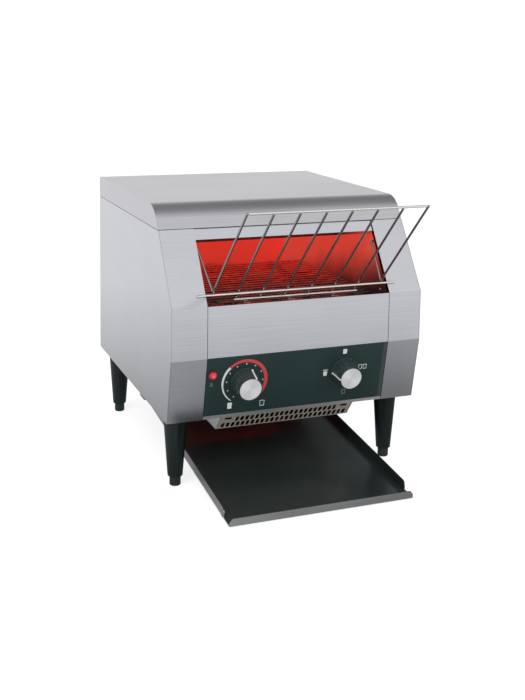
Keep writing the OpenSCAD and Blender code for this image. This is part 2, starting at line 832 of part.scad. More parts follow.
// Chain sprocket with gaps between its teeth for the rollers
module chain_sprocket(first_gap) {
    seat_r = chain_roller_r + lap;
    rotate([90, 0, 90]) linear_extrude(2.6, center = true) difference() {
        circle(r = chain_wheel_r + 1.9, $fn = 64);
        for (i = [0:chain_teeth - 1]) rotate(first_gap + i * 360 / chain_teeth) translate([chain_wheel_r, 0]) {
            circle(r = seat_r, $fn = 24);
            polygon([[0, -seat_r], [2.6, -seat_r - 1.3], [2.6, seat_r + 1.3], [0, seat_r]]);
        }
        circle(r = shaft_r);
    }
}

module chain_hub(from, to) {
    difference() {
        rod_x(from, to, shaft_r + 4);
        rod_x(from - 1, to + 1, shaft_r);
    }
}

module chain_wheel() {
    color([0.45, 0.45, 0.47]) translate([0, back_shaft_y, shaft_h]) {
        translate([chain_x, 0, 0]) chain_sprocket(90 + chain_deg);
        chain_hub(chain_x - 1.3 - 7, chain_x - 1.3 + eps);
    }
}

// Sprocket on the output shaft of the gearbox
module motor_sprocket() {
    color([0.45, 0.45, 0.47]) translate([0, motor_y, motor_z]) {
        translate([chain_x, 0, 0]) chain_sprocket(90 + chain_deg);
        rod_x(wall_x - 10, chain_x + 4, shaft_r);
        chain_hub(chain_x - 1.3 - 7, chain_x - 1.3 + eps);
    }
}

// One link plate, lying in YZ, from one pin to the next
module link_plate(x, hole_r) {
    translate([x, 0, 0]) rotate([90, 0, 90]) linear_extrude(0.7, center = true) difference() {
        union() {
            translate([0, -2]) square([chain_pitch, 4]);
            for (u = [0, chain_pitch]) translate([u, 0]) circle(r = 2.6, $fn = 24);
        }
        for (u = [0, chain_pitch]) translate([u, 0]) circle(r = hole_r, $fn = 24);
    }
}

module inner_link() {
    difference() {
        union() {
            for (s = [-1, 1]) link_plate(s * 1.95, 0.5);
            for (u = [0, chain_pitch]) translate([0, u, 0]) rod_x(-1.7, 1.7, chain_roller_r, $fn = 24);
        }
        for (u = [0, chain_pitch]) translate([0, u, 0]) rod_x(-4, 4, 1.1, $fn = 24);
    }
}

module outer_link() {
    for (s = [-1, 1]) link_plate(s * 2.75, 0.5);
    for (u = [0, chain_pitch]) translate([0, u, 0]) rod_x(-3.3, 3.3, 1, $fn = 24);
}

module drive_chain() {
    color([0.4, 0.4, 0.42]) translate([chain_x, motor_y, motor_z]) rotate([chain_deg, 0, 0])
        for (i = [0:chain_pins - 1]) {
            pin = loop_pin(i, chain_teeth, chain_pitch, chain_run);
            translate([0, pin[0], pin[1]])
                rotate([loop_angle(i, chain_teeth, chain_pitch, chain_run), 0, 0])
                    if (i % 2 == 0) inner_link(); else outer_link();
        }
}

module gearbox() {
    back = wall_x - lap;
    color([0.5, 0.5, 0.5]) translate([0, motor_y, motor_z]) difference() {
        union() {
            rod_x(back - gearbox_len, back, gearbox_r);
            for (a = [45:90:359]) rotate([a, 0, 0])
                translate([0, gearbox_r + 2, 0]) rod_x(back - 5, back, 6);
        }
        rod_x(back - 14, back + 1, shaft_r + running);
    }
}

module motor() {
    back = wall_x - lap - gearbox_len - 0.2;
    color([0.3, 0.3, 0.32]) translate([0, motor_y, motor_z]) {
        rod_x(back - motor_len, back, motor_r);
        rod_x(back - motor_len - 6, back - motor_len + eps, 8);
    }
}

// ---- Heating ----

module heater_bank(ys, h) {
    color([0.95, 0.45, 0.25]) for (y = ys) translate([0, y, h]) rod_x(-heater_end, heater_end, heater_r);
}

// Ceramic bushes that hold the ends of the heater tubes outside the walls
module heater_insulators() {
    from = wall_x + sheet + 0.1;
    color([0.93, 0.9, 0.84]) for (side = [-1, 1]) {
        for (y = upper_heater_ys) translate([0, y, upper_heater_h]) insulator(side, from);
        for (y = lower_heater_ys) translate([0, y, lower_heater_h]) insulator(side, from);
    }
}

module insulator(side, from) {
    rotate([0, side * 90, 0]) translate([0, 0, from]) difference() {
        union() {
            cylinder(r = insulator_r, h = 4);
            cylinder(r = insulator_r - 1.5, h = insulator_len);
        }
        translate([0, 0, -1]) cylinder(r = heater_r, h = insulator_len - 1);
    }
}

// ---- Feed rack ----

function at(p, x) = [x, p[0], p[1]];

// Left and right side wires: down the rack, round the bottom bend, back up to the pivot
module rack_side_wires() {
    pivot = [rack_pivot_y, rack_pivot_h];
    color([0.7, 0.68, 0.65]) for (s = [-1, 1])
        wire([at(rack_top, s * rack_half), at(rack_foot, s * rack_half),
            at(pivot, s * rack_pin_in), at(pivot, s * rack_pin_out)], rack_r);
}

// Six straight wires between the side wires; their lower ends reach over the belt
module rack_slats() {
    top = rack_top - rack_weld * rack_dir;
    color([0.7, 0.68, 0.65]) for (i = [1:6])
        wire([at(top, (i - 3.5) * rack_pitch), at(rack_end, (i - 3.5) * rack_pitch)], rack_r);
}

// Top wire, the cross wire that lies on the columns, and a short wire under the slats' ends
module rack_cross_wires() {
    low = rack_end - rack_weld * rack_up + 2 * rack_dir;
    top_half = rack_half - rack_weld;
    low_half = 2.5 * rack_pitch + 2;
    color([0.72, 0.7, 0.67]) {
        wire([at(rack_top, -top_half), at(rack_top, top_half)], rack_r);
        wire([at(rack_bar, -rack_bar_half), at(rack_bar, rack_bar_half)], rack_r);
        wire([at(low, -low_half), at(low, low_half)], rack_r);
    }
}

// ---- Tray ----

// Stands its children on the tray's slope, with the front edge at the origin
module on_tray() {
    translate([tray_x, -tray_out, tray_lift]) rotate([tray_deg, 0, 0]) children();
}

module rim_outline() {
    r = 7;
    difference() {
        translate([rim_start, 0]) square([tray_l - rim_start, rim_h]);
        translate([rim_start - 1, rim_h - r]) square([r + 1, r + 1]);
    }
    translate([rim_start + r, rim_h - r]) circle(r = r, $fn = 48);
}

// Folded tray: floor, two side rims and a front lip with cut corners
module tray() {
    color([0.5, 0.52, 0.54]) on_tray() {
        translate([-tray_half, 0, 0]) cube([2 * tray_half, tray_l, sheet]);
        for (x = [-tray_half, tray_half - sheet]) along_x(x, x + sheet) rim_outline();
        translate([0, sheet, 0]) rotate([90, 0, 0]) linear_extrude(sheet)
            polygon([[-tray_half, 0], [tray_half, 0], [tray_half, tray_lip_h - 5],
                [tray_half - 4, tray_lip_h], [-tray_half + 4, tray_lip_h], [-tray_half, tray_lip_h - 5]]);
    }
}

// Two hooks under the floor that carry the tray's back end
module tray_hangers() {
    edge = tray_half + hanger_gap;
    drop = (hanger_y + tray_out) * tan(tray_deg) + tray_lift - lap - sheet;
    ledge = 14;
    color([0.66, 0.66, 0.68]) for (s = [-1, 1]) translate([tray_x, hanger_y, 0]) mirror([s < 0 ? 1 : 0, 0, 0]) {
        translate([edge, 0, drop]) cube([sheet, hanger_w, pan_z - lap - drop]);
        translate([edge - ledge, 0, drop - 2]) cube([ledge + sheet, hanger_w, sheet + 2 - lap]);
        translate([edge, 0, pan_z - lap - sheet]) cube([9, hanger_w, sheet]);
    }
}

// ---- Controls ----

// Round knob: a flat skirt, a tapered and fluted grip, and a recess for its bright cap
module knob(x) {
    flutes = 18;
    flute_r = 1.9;
    skirt_h = 3;
    rise = knob_h - skirt_h;
    low_r = knob_r - 1.8;
    taper = atan2(low_r - grip_r, rise);
    color([0.06, 0.07, 0.07]) on_panel(x, knob_drop) translate([0, 0, lap]) difference() {
        union() {
            cylinder(r1 = knob_r, r2 = knob_r - 0.8, h = skirt_h, $fn = 72);
            translate([0, 0, skirt_h - eps]) cylinder(r1 = low_r, r2 = grip_r, h = rise + eps, $fn = 72);
        }
        for (i = [0:flutes - 1]) rotate(i * 360 / flutes) translate([low_r + 1, 0, skirt_h])
            rotate([0, -taper, 0]) translate([0, 0, 0.6]) cylinder(r = flute_r, h = rise + 4, $fn = 24);
        translate([0, 0, knob_h - 1.2]) cylinder(r = grip_r - 1.4, h = 2, $fn = 72);
        translate([0, 0, -1]) cylinder(r = spindle_r, h = knob_h - 5);
        translate([0, 0, -1]) cylinder(r = neck_r() + 4, h = 5);
    }
}

module knob_cap(x) {
    color([0.88, 0.88, 0.9]) on_panel(x, knob_drop)
        translate([0, 0, lap + knob_h - 1.1]) cylinder(r = grip_r - 1.6, h = 1.4, $fn = 72);
}

// Spindle that turns with the knob
module spindle(x) {
    color([0.6, 0.6, 0.62]) on_panel(x, knob_drop)
        translate([0, 0, -14]) cylinder(r = spindle_r, h = 14 + knob_h - 6);
}

// Threaded neck and nut that hold a control in the panel
module control_neck() {
    difference() {
        union() {
            translate([0, 0, -panel_set - sheet - 2]) cylinder(r = neck_r(), h = 6.2);
            translate([0, 0, 0.1]) cylinder(r = neck_r() + 3, h = 2.4, $fn = 6);
        }
        translate([0, 0, -20]) cylinder(r = spindle_r + running, h = 40);
    }
}

module speed_control() {
    back = -panel_set - sheet - 0.1;
    color([0.25, 0.25, 0.27]) on_panel(speed_x, knob_drop) {
        control_neck();
        difference() {
            translate([-21, -21, back - 28]) cube([42, 42, 28]);
            translate([0, 0, back - 14]) cylinder(r = spindle_r + running, h = 20);
        }
        for (i = [-1, 1]) translate([i * 12 - 3, -10, back - 34]) cube([6, 0.8, 6.1]);
    }
}

module mode_switch() {
    back = -panel_set - sheet - 0.1;
    color([0.3, 0.27, 0.2]) on_panel(mode_x, knob_drop) {
        control_neck();
        difference() {
            translate([0, 0, back - 26]) cylinder(r = 20, h = 26);
            translate([0, 0, back - 14]) cylinder(r = spindle_r + running, h = 20);
        }
        for (a = [0:90:359]) rotate(a) translate([12, -3, back - 33]) cube([0.8, 6, 7.1]);
    }
}

// Red lens with its barrel through the panel
module pilot_lamp() {
    color([0.8, 0.08, 0.1]) on_panel(lamp_x, lamp_drop) {
        translate([0, 0, -14]) cylinder(r = lens_r - 1.1, h = 14.2);
        translate([0, 0, 0]) cylinder(r = lens_r, h = 2.2);
        translate([0, 0, 2.1]) intersection() {
            translate([0, 0, -2]) sphere(r = lens_r + 0.2);
            cylinder(r = lens_r - 0.4, h = lens_r);
        }
    }
}

// ---- Cooling, wiring and fastenings ----

module fan_frame() {
    corner = fan_size / 2 - 5;
    color([0.12, 0.12, 0.13]) translate([fan_x, fan_y, fan_z]) difference() {
        union() {
            difference() {
                translate([-fan_size / 2, -fan_size / 2, 0]) cube([fan_size, fan_size, fan_t]);
                translate([0, 0, -1]) cylinder(r = fan_bore_r, h = fan_t + 2);
            }
            cylinder(r = fan_hub_r + 1, h = 5);
            for (a = [45:90:359]) rotate(a) translate([fan_hub_r, -2, 0]) cube([fan_size / 2 - fan_hub_r, 4, 3]);
        }
        translate([0, 0, -1]) cylinder(r = fan_pin_r + running, h = 8, $fn = 24);
        for (x = [-1, 1], y = [-1, 1]) translate([x * corner, y * corner, -1])
            cylinder(r = 2.1, h = fan_t + 2, $fn = 24);
    }
}

module fan_rotor() {
    tip = fan_bore_r - 1;
    color([0.2, 0.2, 0.21]) translate([fan_x, fan_y, fan_z + 5.4]) {
        cylinder(r = fan_hub_r, h = fan_t - 7);
        translate([0, 0, -4]) cylinder(r = fan_pin_r, h = 5, $fn = 24);
        intersection() {
            for (i = [0:fan_blades - 1]) rotate(i * 360 / fan_blades) translate([fan_hub_r - 1, 0, (fan_t - 7) / 2])
                rotate([38, 0, 0]) translate([0, -11, -0.8]) cube([fan_size / 2, 22, 1.6]);
            cylinder(r = tip, h = fan_t - 7);
        }
    }
}

module terminal_block() {
    way = 10;
    base_w = 2 * way;
    len = 4 * way;
    color([0.85, 0.83, 0.78]) translate([17.5 - wall_x, fan_y + 22, pan_top + 0.2]) difference() {
        union() {
            cube([base_w, len, 8]);
            translate([3, 0, 0]) cube([base_w - 6, len, 16]);
        }
        for (i = [0:3]) translate([way, (i + 0.5) * way, 6]) cylinder(r = 2.4, h = 12, $fn = 24);
    }
}

// Moulded gland for the supply cord, gripping the edge of its hole
module cord_gland() {
    color([0.1, 0.1, 0.1]) translate([gland_x, body_d, gland_h]) rotate([90, 0, 0]) difference() {
        union() {
            translate([0, 0, -gland_out]) cylinder(r1 = gland_bore_r + 3, r2 = gland_bore_r + 4.5, h = gland_out - 3);
            translate([0, 0, -3]) cylinder(r = gland_bore_r + 6, h = 3 - eps);
            translate([0, 0, -1]) cylinder(r = gland_bore_r + 3.9, h = 12);
            translate([0, 0, sheet + 0.1]) cylinder(r = gland_bore_r + 6, h = 5);
        }
        translate([0, 0, -gland_out - 1]) cylinder(r = gland_bore_r, h = 40);
    }
}

function leg_places() = [for (y = [leg_front_y, leg_back_y], s = [-1, 1]) [s * leg_x, y]];

// Four tapered legs, each with a stud through the floor and a bore for its levelling foot
module legs() {
    bore_top = leg_low + stud_len + 6;
    color([0.05, 0.07, 0.07]) for (p = leg_places()) translate([p[0], p[1], 0]) difference() {
        union() {
            translate([0, 0, leg_low]) cylinder(r1 = leg_low_r, r2 = leg_top_r, h = leg_top - leg_low, $fn = 72);
            translate([0, 0, leg_top - 5]) cylinder(r = leg_stud_r, h = leg_stud_top - leg_top + 5);
        }
        cylinder(r = stud_r + running, h = bore_top);
    }
}

module leg_nuts() {
    color([0.6, 0.6, 0.62]) for (p = leg_places()) translate([p[0], p[1], pan_top + 0.1]) difference() {
        cylinder(r = leg_nut_r, h = leg_nut_h, $fn = 6);
        translate([0, 0, -1]) cylinder(r = leg_stud_r, h = leg_nut_h + 2);
    }
}

// Levelling foot with a chamfered sole and its stud
module foot(place) {
    color([0.08, 0.1, 0.1]) translate([leg_places()[place][0], leg_places()[place][1], 0]) {
        cylinder(r1 = foot_r - 1.2, r2 = foot_r, h = 1.2);
        translate([0, 0, 1.2]) cylinder(r = foot_r, h = foot_h - 1.2);
        translate([0, 0, foot_h - eps]) cylinder(r = stud_r, h = stud_len);
    }
}

// Pan head screws through the back wall
module rear_screws() {
    color([0.75, 0.75, 0.77]) for (p = rear_screw_places()) translate([p[0], body_d, p[1]]) rotate([90, 0, 0]) {
        translate([0, 0, -2]) cylinder(r1 = 2.8, r2 = 3.4, h = 2, $fn = 36);
        translate([0, 0, -eps]) cylinder(r = 1.65, h = 7, $fn = 24);
    }
}

module at_frame() {
    translate([0, frame_y, 0]) children();
}

at_frame() top_cover();
at_frame() side_panel(-half_w);  // left_side_panel
at_frame() side_panel(inner_x);  // right_side_panel
at_frame() rear_panel();
at_frame() base_pan();
at_frame() mirror([1, 0, 0]) column();  // left_column
at_frame() column();  // right_column
at_frame() front_header();
at_frame() middle_panel();
at_frame() control_panel();
at_frame() panel_overlay();
at_frame() feed_sill();
at_frame() intake_guard();
at_frame() wall_plate(-wall_x - sheet);  // left_wall
at_frame() wall_plate(wall_x);  // right_wall
at_frame() upper_reflector();
at_frame() insulation_pad();
at_frame() lower_reflector();
at_frame() belt_rails();
at_frame() control_box();
at_frame() return_chute();
at_frame() conveyor_belt();
at_frame() shaft(back_shaft_y, chain_x + 6);  // drive_shaft
at_frame() belt_sprockets(back_shaft_y);  // drive_sprockets
at_frame() shaft(shaft_y, wall_x + sheet + bushing_len);  // idler_shaft
at_frame() belt_sprockets(shaft_y);  // idler_sprockets
at_frame() shaft_bushings();
at_frame() chain_wheel();
at_frame() motor_sprocket();
at_frame() drive_chain();
at_frame() gearbox();
at_frame() motor();
at_frame() heater_bank(upper_heater_ys, upper_heater_h);  // upper_heaters
at_frame() heater_bank(lower_heater_ys, lower_heater_h);  // lower_heaters
at_frame() heater_insulators();
at_frame() rack_side_wires();
at_frame() rack_slats();
at_frame() rack_cross_wires();
at_frame() tray();
at_frame() tray_hangers();
at_frame() knob(speed_x);  // speed_knob
at_frame() knob_cap(speed_x);  // speed_knob_cap
at_frame() spindle(speed_x);  // speed_spindle
at_frame() speed_control();
at_frame() knob(mode_x);  // mode_knob
at_frame() knob_cap(mode_x);  // mode_knob_cap
at_frame() spindle(mode_x);  // mode_spindle
at_frame() mode_switch();
at_frame() pilot_lamp();
at_frame() fan_frame();
at_frame() fan_rotor();
at_frame() terminal_block();
at_frame() cord_gland();
at_frame() legs();
at_frame() leg_nuts();
at_frame() foot(0);  // foot_front_left
at_frame() foot(1);  // foot_front_right
at_frame() foot(2);  // foot_rear_left
at_frame() foot(3);  // foot_rear_right
at_frame() rear_screws();
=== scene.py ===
import math

import bmesh
import bpy
from mathutils import Matrix, Vector


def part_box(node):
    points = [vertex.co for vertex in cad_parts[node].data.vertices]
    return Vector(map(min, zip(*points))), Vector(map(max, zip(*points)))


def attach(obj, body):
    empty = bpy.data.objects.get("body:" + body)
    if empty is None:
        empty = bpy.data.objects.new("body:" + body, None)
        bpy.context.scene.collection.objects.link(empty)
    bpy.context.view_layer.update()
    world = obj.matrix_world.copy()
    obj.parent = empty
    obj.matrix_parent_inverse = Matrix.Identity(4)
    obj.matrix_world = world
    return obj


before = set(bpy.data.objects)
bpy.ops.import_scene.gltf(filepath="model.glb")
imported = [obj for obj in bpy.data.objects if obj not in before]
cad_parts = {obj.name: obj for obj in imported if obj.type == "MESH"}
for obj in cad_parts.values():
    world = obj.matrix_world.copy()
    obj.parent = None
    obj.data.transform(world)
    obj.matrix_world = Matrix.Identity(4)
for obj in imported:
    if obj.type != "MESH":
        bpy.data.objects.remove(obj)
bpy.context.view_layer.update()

# ---- Folded stainless cover ----
# The top of the machine: one sheet of brushed stainless steel, folded over the front and down
# both sides. Its grain runs from side to side.


def fill(node, values):
    """Gives each named socket of a node a value, or joins another node's output to it."""
    for key, value in values.items():
        if isinstance(value, bpy.types.NodeSocket):
            node.id_data.links.new(value, node.inputs[key])
        else:
            node.inputs[key].default_value = value


def add_node(tree, kind, values=None, **settings):
    """Adds a node to a tree, with its settings and what its sockets hold."""
    node = tree.nodes.new(kind)
    for key, value in settings.items():
        setattr(node, key, value)
    fill(node, values or {})
    return node


def coordinates(tree, which="Object"):
    """The shaded point's place in the object's own space, or its "Normal" there."""
    return add_node(tree, "ShaderNodeTexCoord").outputs[which]


def split(tree, vector):
    """The "X", "Y" and "Z" of a vector."""
    return add_node(tree, "ShaderNodeSeparateXYZ", {"Vector": vector}).outputs


def calculate(tree, operation, *values):
    """Works out one number from up to three."""
    return add_node(tree, "ShaderNodeMath", dict(enumerate(values)), operation=operation).outputs[0]


def calculate_vector(tree, operation, *values, **sockets):
    """Works out a vector from one or two, or the number that a product or a distance gives."""
    node = add_node(tree, "ShaderNodeVectorMath", {**dict(enumerate(values)), **sockets},
                    operation=operation)
    return node.outputs["Value" if operation in ("DOT_PRODUCT", "LENGTH", "DISTANCE") else "Vector"]


def rescale(tree, value, start=0.0, end=1.0, low=0.0, high=1.0, **settings):
    """Turns a number that goes from start to end into one that goes from low to high."""
    node = add_node(tree, "ShaderNodeMapRange", {"Value": value, "From Min": start, "From Max": end,
                                                 "To Min": low, "To Max": high}, **settings)
    return node.outputs["Result"]


def mix_colors(tree, share, none, full):
    """The first colour where the share is 0, and the second where it is 1."""
    return add_node(tree, "ShaderNodeMix", {"Factor": share, 6: none, 7: full}, data_type="RGBA").outputs[2]


def noise(tree, place, scale, detail, **sockets):
    """Cloudy noise that changes from place to place."""
    return add_node(tree, "ShaderNodeTexNoise",
                    {"Vector": place, "Scale": scale, "Detail": detail, **sockets}).outputs["Fac"]


def relief(tree, height, strength, distance):
    """The normals of a surface that a height makes uneven."""
    return add_node(tree, "ShaderNodeBump",
                    {"Height": height, "Strength": strength, "Distance": distance}).outputs["Normal"]


def new_group(name, inputs, outputs):
    """Starts a shader node group. Gives its tree, its inputs as sockets, and its output node.

    An input's kind follows its first value: a number, three for a vector or four for a colour.
    """
    tree = bpy.data.node_groups.new(name, "ShaderNodeTree")
    for socket, value in inputs.items():
        kind = "Float" if isinstance(value, float) else "Vector" if len(value) == 3 else "Color"
        made = tree.interface.new_socket(socket, in_out="INPUT", socket_type="NodeSocket" + kind)
        made.default_value = value
    for socket, kind in outputs.items():
        tree.interface.new_socket(socket, in_out="OUTPUT", socket_type="NodeSocket" + kind)
    return tree, tree.nodes.new("NodeGroupInput").outputs, tree.nodes.new("NodeGroupOutput")


def build_brushed_grain():
    """Fine straight scratches, and the faint cloudy film that wiping leaves on them."""
    tree, given, out = new_group(
        "brushed_grain",
        {"Along": (12.0, 900.0, 900.0), "Depth": 0.2, "Light": (0.7, 0.7, 0.72, 1),
         "Dark": (0.6, 0.6, 0.62, 1), "Smooth": 0.3, "Rough": 0.42},
        {"Color": "Color", "Roughness": "Float", "Normal": "Vector"})
    place = coordinates(tree)
    along = add_node(tree, "ShaderNodeMapping", {"Vector": place, "Scale": given["Along"]}).outputs["Vector"]
    scratches = noise(tree, along, 1.0, 3.0, Roughness=0.55)
    film = noise(tree, place, 7.0, 4.0)
    tone = rescale(tree, calculate(tree, "ADD", scratches, film), start=0.7, end=1.3)
    fill(out, {"Color": mix_colors(tree, tone, given["Dark"], given["Light"]),
               "Roughness": rescale(tree, film, 0.3, 0.7, given["Smooth"], given["Rough"]),
               "Normal": relief(tree, scratches, given["Depth"], 0.0002)})
    return tree


def new_material(name, **shader):
    """A material and its Principled shader. An underline in a socket's name stands for a space."""
    material = bpy.data.materials.new(name)
    material.use_nodes = True
    surface = material.node_tree.nodes["Principled BSDF"]
    fill(surface, {key.replace("_", " "): value for key, value in shader.items()})
    return material, surface


def feed(surface, group, values, sockets):
    """Places a group beside a shader, with this material's values, and feeds the shader from it."""
    made = add_node(surface.id_data, "ShaderNodeGroup", values, node_tree=group).outputs
    fill(surface, {socket: made[output] for socket, output in sockets.items()})
    return made


BRUSHED = build_brushed_grain()
GRAIN_SOCKETS = {"Base Color": "Color", "Roughness": "Roughness", "Normal": "Normal"}


def brushed_steel(name, light, dark, along, smooth=0.17, rough=0.24, depth=0.08):
    """Bare metal. Its grain is stretched along the axes that have a low number in along."""
    material, surface = new_material(name, Metallic=1.0)
    feed(surface, BRUSHED, {"Light": (*light, 1), "Dark": (*dark, 1), "Along": along,
                            "Smooth": smooth, "Rough": rough, "Depth": depth}, GRAIN_SOCKETS)
    return material


def finish(material, *nodes):
    """Gives nodes of the frame their finish."""
    for node in nodes:
        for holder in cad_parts[node].material_slots:
            holder.material = material


ALONG_X = (14.0, 1100.0, 1100.0)
cover_steel = brushed_steel("cover_steel", (0.62, 0.615, 0.64), (0.54, 0.535, 0.56), ALONG_X)
finish(cover_steel, "top_cover")

# ---- Side panels and back wall ----
# Flat stainless sheets that hang under the cover. Their grain runs from front to back, and the
# back wall's from side to side. Small plated screws hold the back wall.

ALONG_Y = (1100.0, 14.0, 1100.0)
side_steel = brushed_steel("side_steel", (0.66, 0.67, 0.69), (0.6, 0.61, 0.63), ALONG_Y)
finish(side_steel, "left_side_panel", "right_side_panel")
back_steel = brushed_steel("back_steel", (0.62, 0.62, 0.64), (0.54, 0.54, 0.56), ALONG_X)
finish(back_steel, "rear_panel")

EVEN_GRAIN = (900.0, 900.0, 900.0)
screw_steel = brushed_steel("screw_steel", (0.72, 0.71, 0.7), (0.55, 0.55, 0.55), EVEN_GRAIN,
                            smooth=0.22, rough=0.34)
finish(screw_steel, "rear_screws", "leg_nuts")

# ---- Front columns, header and upright panel ----
# Bright stainless strips left and right of the mouth, the channel over it and the sheet under it.
# They are brushed from side to side. The narrow edges round the mouth and in the seams between the sheets
# are painted near black, as painted shade.


def opened(material):
    """A finished material's shader, and the colour that feeds it."""
    surface = material.node_tree.nodes["Principled BSDF"]
    return surface, surface.inputs["Base Color"].links[0].from_socket


seam_reach = 0.1365  # the seams and the mouth's edges lie no further than this from the middle
edge_turn = 0.7  # a sheet's narrow edge faces sideways or upwards by more than this

front_steel = brushed_steel("front_steel", (0.68, 0.69, 0.72), (0.6, 0.61, 0.64), ALONG_X,
                            smooth=0.15, rough=0.21)
surface, clean = opened(front_steel)
tree = surface.id_data
from_middle = calculate(tree, "ABSOLUTE", split(tree, coordinates(tree))["X"])
near_seam = calculate(tree, "LESS_THAN", from_middle, seam_reach)
facing = split(tree, coordinates(tree, "Normal"))
edge_on = calculate(tree, "MAXIMUM", calculate(tree, "ABSOLUTE", facing["X"]), facing["Z"])
narrow_edge = calculate(tree, "GREATER_THAN", edge_on, edge_turn)
# painted shade: narrow edges near the middle, in the seams and round the mouth, turn near black
seam_painted_shade = calculate(tree, "MULTIPLY", near_seam, narrow_edge)
fill(surface, {"Base Color": mix_colors(tree, seam_painted_shade, clean, (0.045, 0.04, 0.04, 1))})
finish(front_steel, "left_column", "right_column", "front_header", "middle_panel")

# ---- Floor, control box, rails and hooks ----
# Plain zinc-coated sheet: parts that are seen only from below or from behind. The coating
# crystallises in spangles a few millimetres wide.


def build_spangle():
    """Zinc crystals, each with a tone and a roughness of its own."""
    tree, given, out = new_group(
        "zinc_spangle",
        {"Light": (0.6, 0.62, 0.63, 1), "Dark": (0.42, 0.44, 0.46, 1)},
        {"Color": "Color", "Roughness": "Float"})
    cells = add_node(tree, "ShaderNodeTexVoronoi", {"Vector": coordinates(tree), "Scale": 130.0})
    tone = add_node(tree, "ShaderNodeSeparateColor", {"Color": cells.outputs["Color"]}).outputs
    fill(out, {"Color": mix_colors(tree, tone["Red"], given["Dark"], given["Light"]),
               "Roughness": rescale(tree, tone["Green"], low=0.38, high=0.58)})
    return tree


zinc, surface = new_material("zinc_sheet", Metallic=1.0)
feed(surface, build_spangle(), {}, {"Base Color": "Color", "Roughness": "Roughness"})
finish(zinc, "base_pan", "control_box", "belt_rails", "tray_hangers")

# ---- Control panel ----
# The sheet that carries the dials. Its lower lip stays bare; the rest is under a dark green-black printed
# overlay with a fine satin texture, with a painted reflection as a grey band down its right edge.


def build_speckle():
    """A fine even grain, as on moulded plastic, enamel, cast metal and printed film."""
    tree, given, out = new_group(
        "fine_speckle",
        {"Size": 900.0, "Depth": 0.1, "Color": (0.05, 0.05, 0.05, 1), "Dust": (0.1, 0.1, 0.1, 1),
         "Smooth": 0.3, "Rough": 0.45},
        {"Color": "Color", "Roughness": "Float", "Normal": "Vector"})
    place = coordinates(tree)
    grain = noise(tree, place, given["Size"], 3.0)
    cloud = noise(tree, place, 18.0, 5.0)
    dusty = rescale(tree, cloud, start=0.45, end=0.85, high=0.5)
    fill(out, {"Color": mix_colors(tree, dusty, given["Color"], given["Dust"]),
               "Roughness": rescale(tree, cloud, 0.3, 0.7, given["Smooth"], given["Rough"]),
               "Normal": relief(tree, grain, given["Depth"], 0.0003)})
    return tree


SPECKLE = build_speckle()


def speckled(name, color, dust, smooth=0.3, rough=0.45, size=900.0, depth=0.1, **shader):
    """Plastic, enamel or paint with a fine grain, and a little dust lying on it in clouds."""
    material, surface = new_material(name, **shader)
    feed(surface, SPECKLE, {"Color": (*color, 1), "Dust": (*dust, 1), "Smooth": smooth,
                            "Rough": rough, "Size": size, "Depth": depth}, GRAIN_SOCKETS)
    return material


panel_steel = brushed_steel("panel_steel", (0.84, 0.84, 0.85), (0.74, 0.74, 0.75), ALONG_X,
                            smooth=0.3, rough=0.4)
finish(panel_steel, "control_panel")

reflection_band_x = 0.1278  # the grey band starts this far right of the middle
overlay, surface = new_material("overlay_film", Specular_IOR_Level=0.35)
tree = surface.id_data
film = feed(surface, SPECKLE, {"Color": (0.0145, 0.035, 0.034, 1), "Dust": (0.02, 0.044, 0.042, 1),
                               "Smooth": 0.34, "Rough": 0.42, "Size": 1400.0, "Depth": 0.05},
            {"Roughness": "Roughness", "Normal": "Normal"})
# painted reflection: a grey band down the overlay's right edge
painted_reflection_band = calculate(tree, "GREATER_THAN", split(tree, coordinates(tree))["X"], reflection_band_x)
fill(surface, {"Base Color": mix_colors(tree, painted_reflection_band, film["Color"], (0.05, 0.06, 0.062, 1))})
finish(overlay, "panel_overlay")

# ---- Printed dial marks ----
# White and red ink on the overlay: the speed dial's growing ring with its dots, and a few slice
# signs round both dials. Each mark is a film a tenth of a millimetre thick.

panel_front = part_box("middle_panel")[0][1]
panel_top = 0.190
panel_height = 0.089
panel_undercut = 0.0175
panel_lean = math.atan2(panel_undercut, panel_height)
overlay_face = -0.0002
ink_low = overlay_face + 0.00002
ink_high = overlay_face + 0.00012
speed_x = -0.078
mode_x = 0.070
knob_drop = 0.0388


def panel_spot(x, drop, out=0.0):
    """A point of the knob panel: across it, down it and out of it."""
    return Vector((x, panel_front + drop * math.sin(panel_lean) - out * math.cos(panel_lean),
                   panel_top - drop * math.cos(panel_lean) - out * math.sin(panel_lean)))


def mesh_piece(name, mesh, material, body="body"):
    """Makes a piece of one material from a mesh, riding on a body."""
    bmesh.ops.recalc_face_normals(mesh, faces=mesh.faces)
    mesh.normal_update()
    data = bpy.data.meshes.new(name)
    mesh.to_mesh(data)
    mesh.free()
    data.materials.append(material)
    piece = bpy.data.objects.new(name, data)
    bpy.context.scene.collection.objects.link(piece)
    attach(piece, body)


def ink(name, material, shapes, x, drop):
    """Prints flat shapes on the panel. A shape is an outline in metres, or a strip of two edges."""
    mesh = bmesh.new()

    def lay(edge, height):
        return [mesh.verts.new(panel_spot(x + right, drop - up, height)) for right, up in edge]

    for shape in shapes:
        if isinstance(shape[0], list):
            inner, outer = shape
            rows = [lay(inner, ink_low), lay(inner, ink_high), lay(outer, ink_high), lay(outer, ink_low)]
            for near, far in zip(rows, rows[1:] + rows[:1]):
                for i in range(len(inner) - 1):
                    mesh.faces.new((near[i], far[i], far[i + 1], near[i + 1]))
            mesh.faces.new([row[0] for row in rows][::-1])
            mesh.faces.new([row[-1] for row in rows])
        else:
            top = lay(shape, ink_high)
            base = lay(shape, ink_low)
            mesh.faces.new(top)
            mesh.faces.new(base[::-1])
            for i in range(len(shape)):
                j = (i + 1) % len(shape)
                mesh.faces.new((base[i], base[j], top[j], top[i]))
    mesh_piece(name, mesh, material)


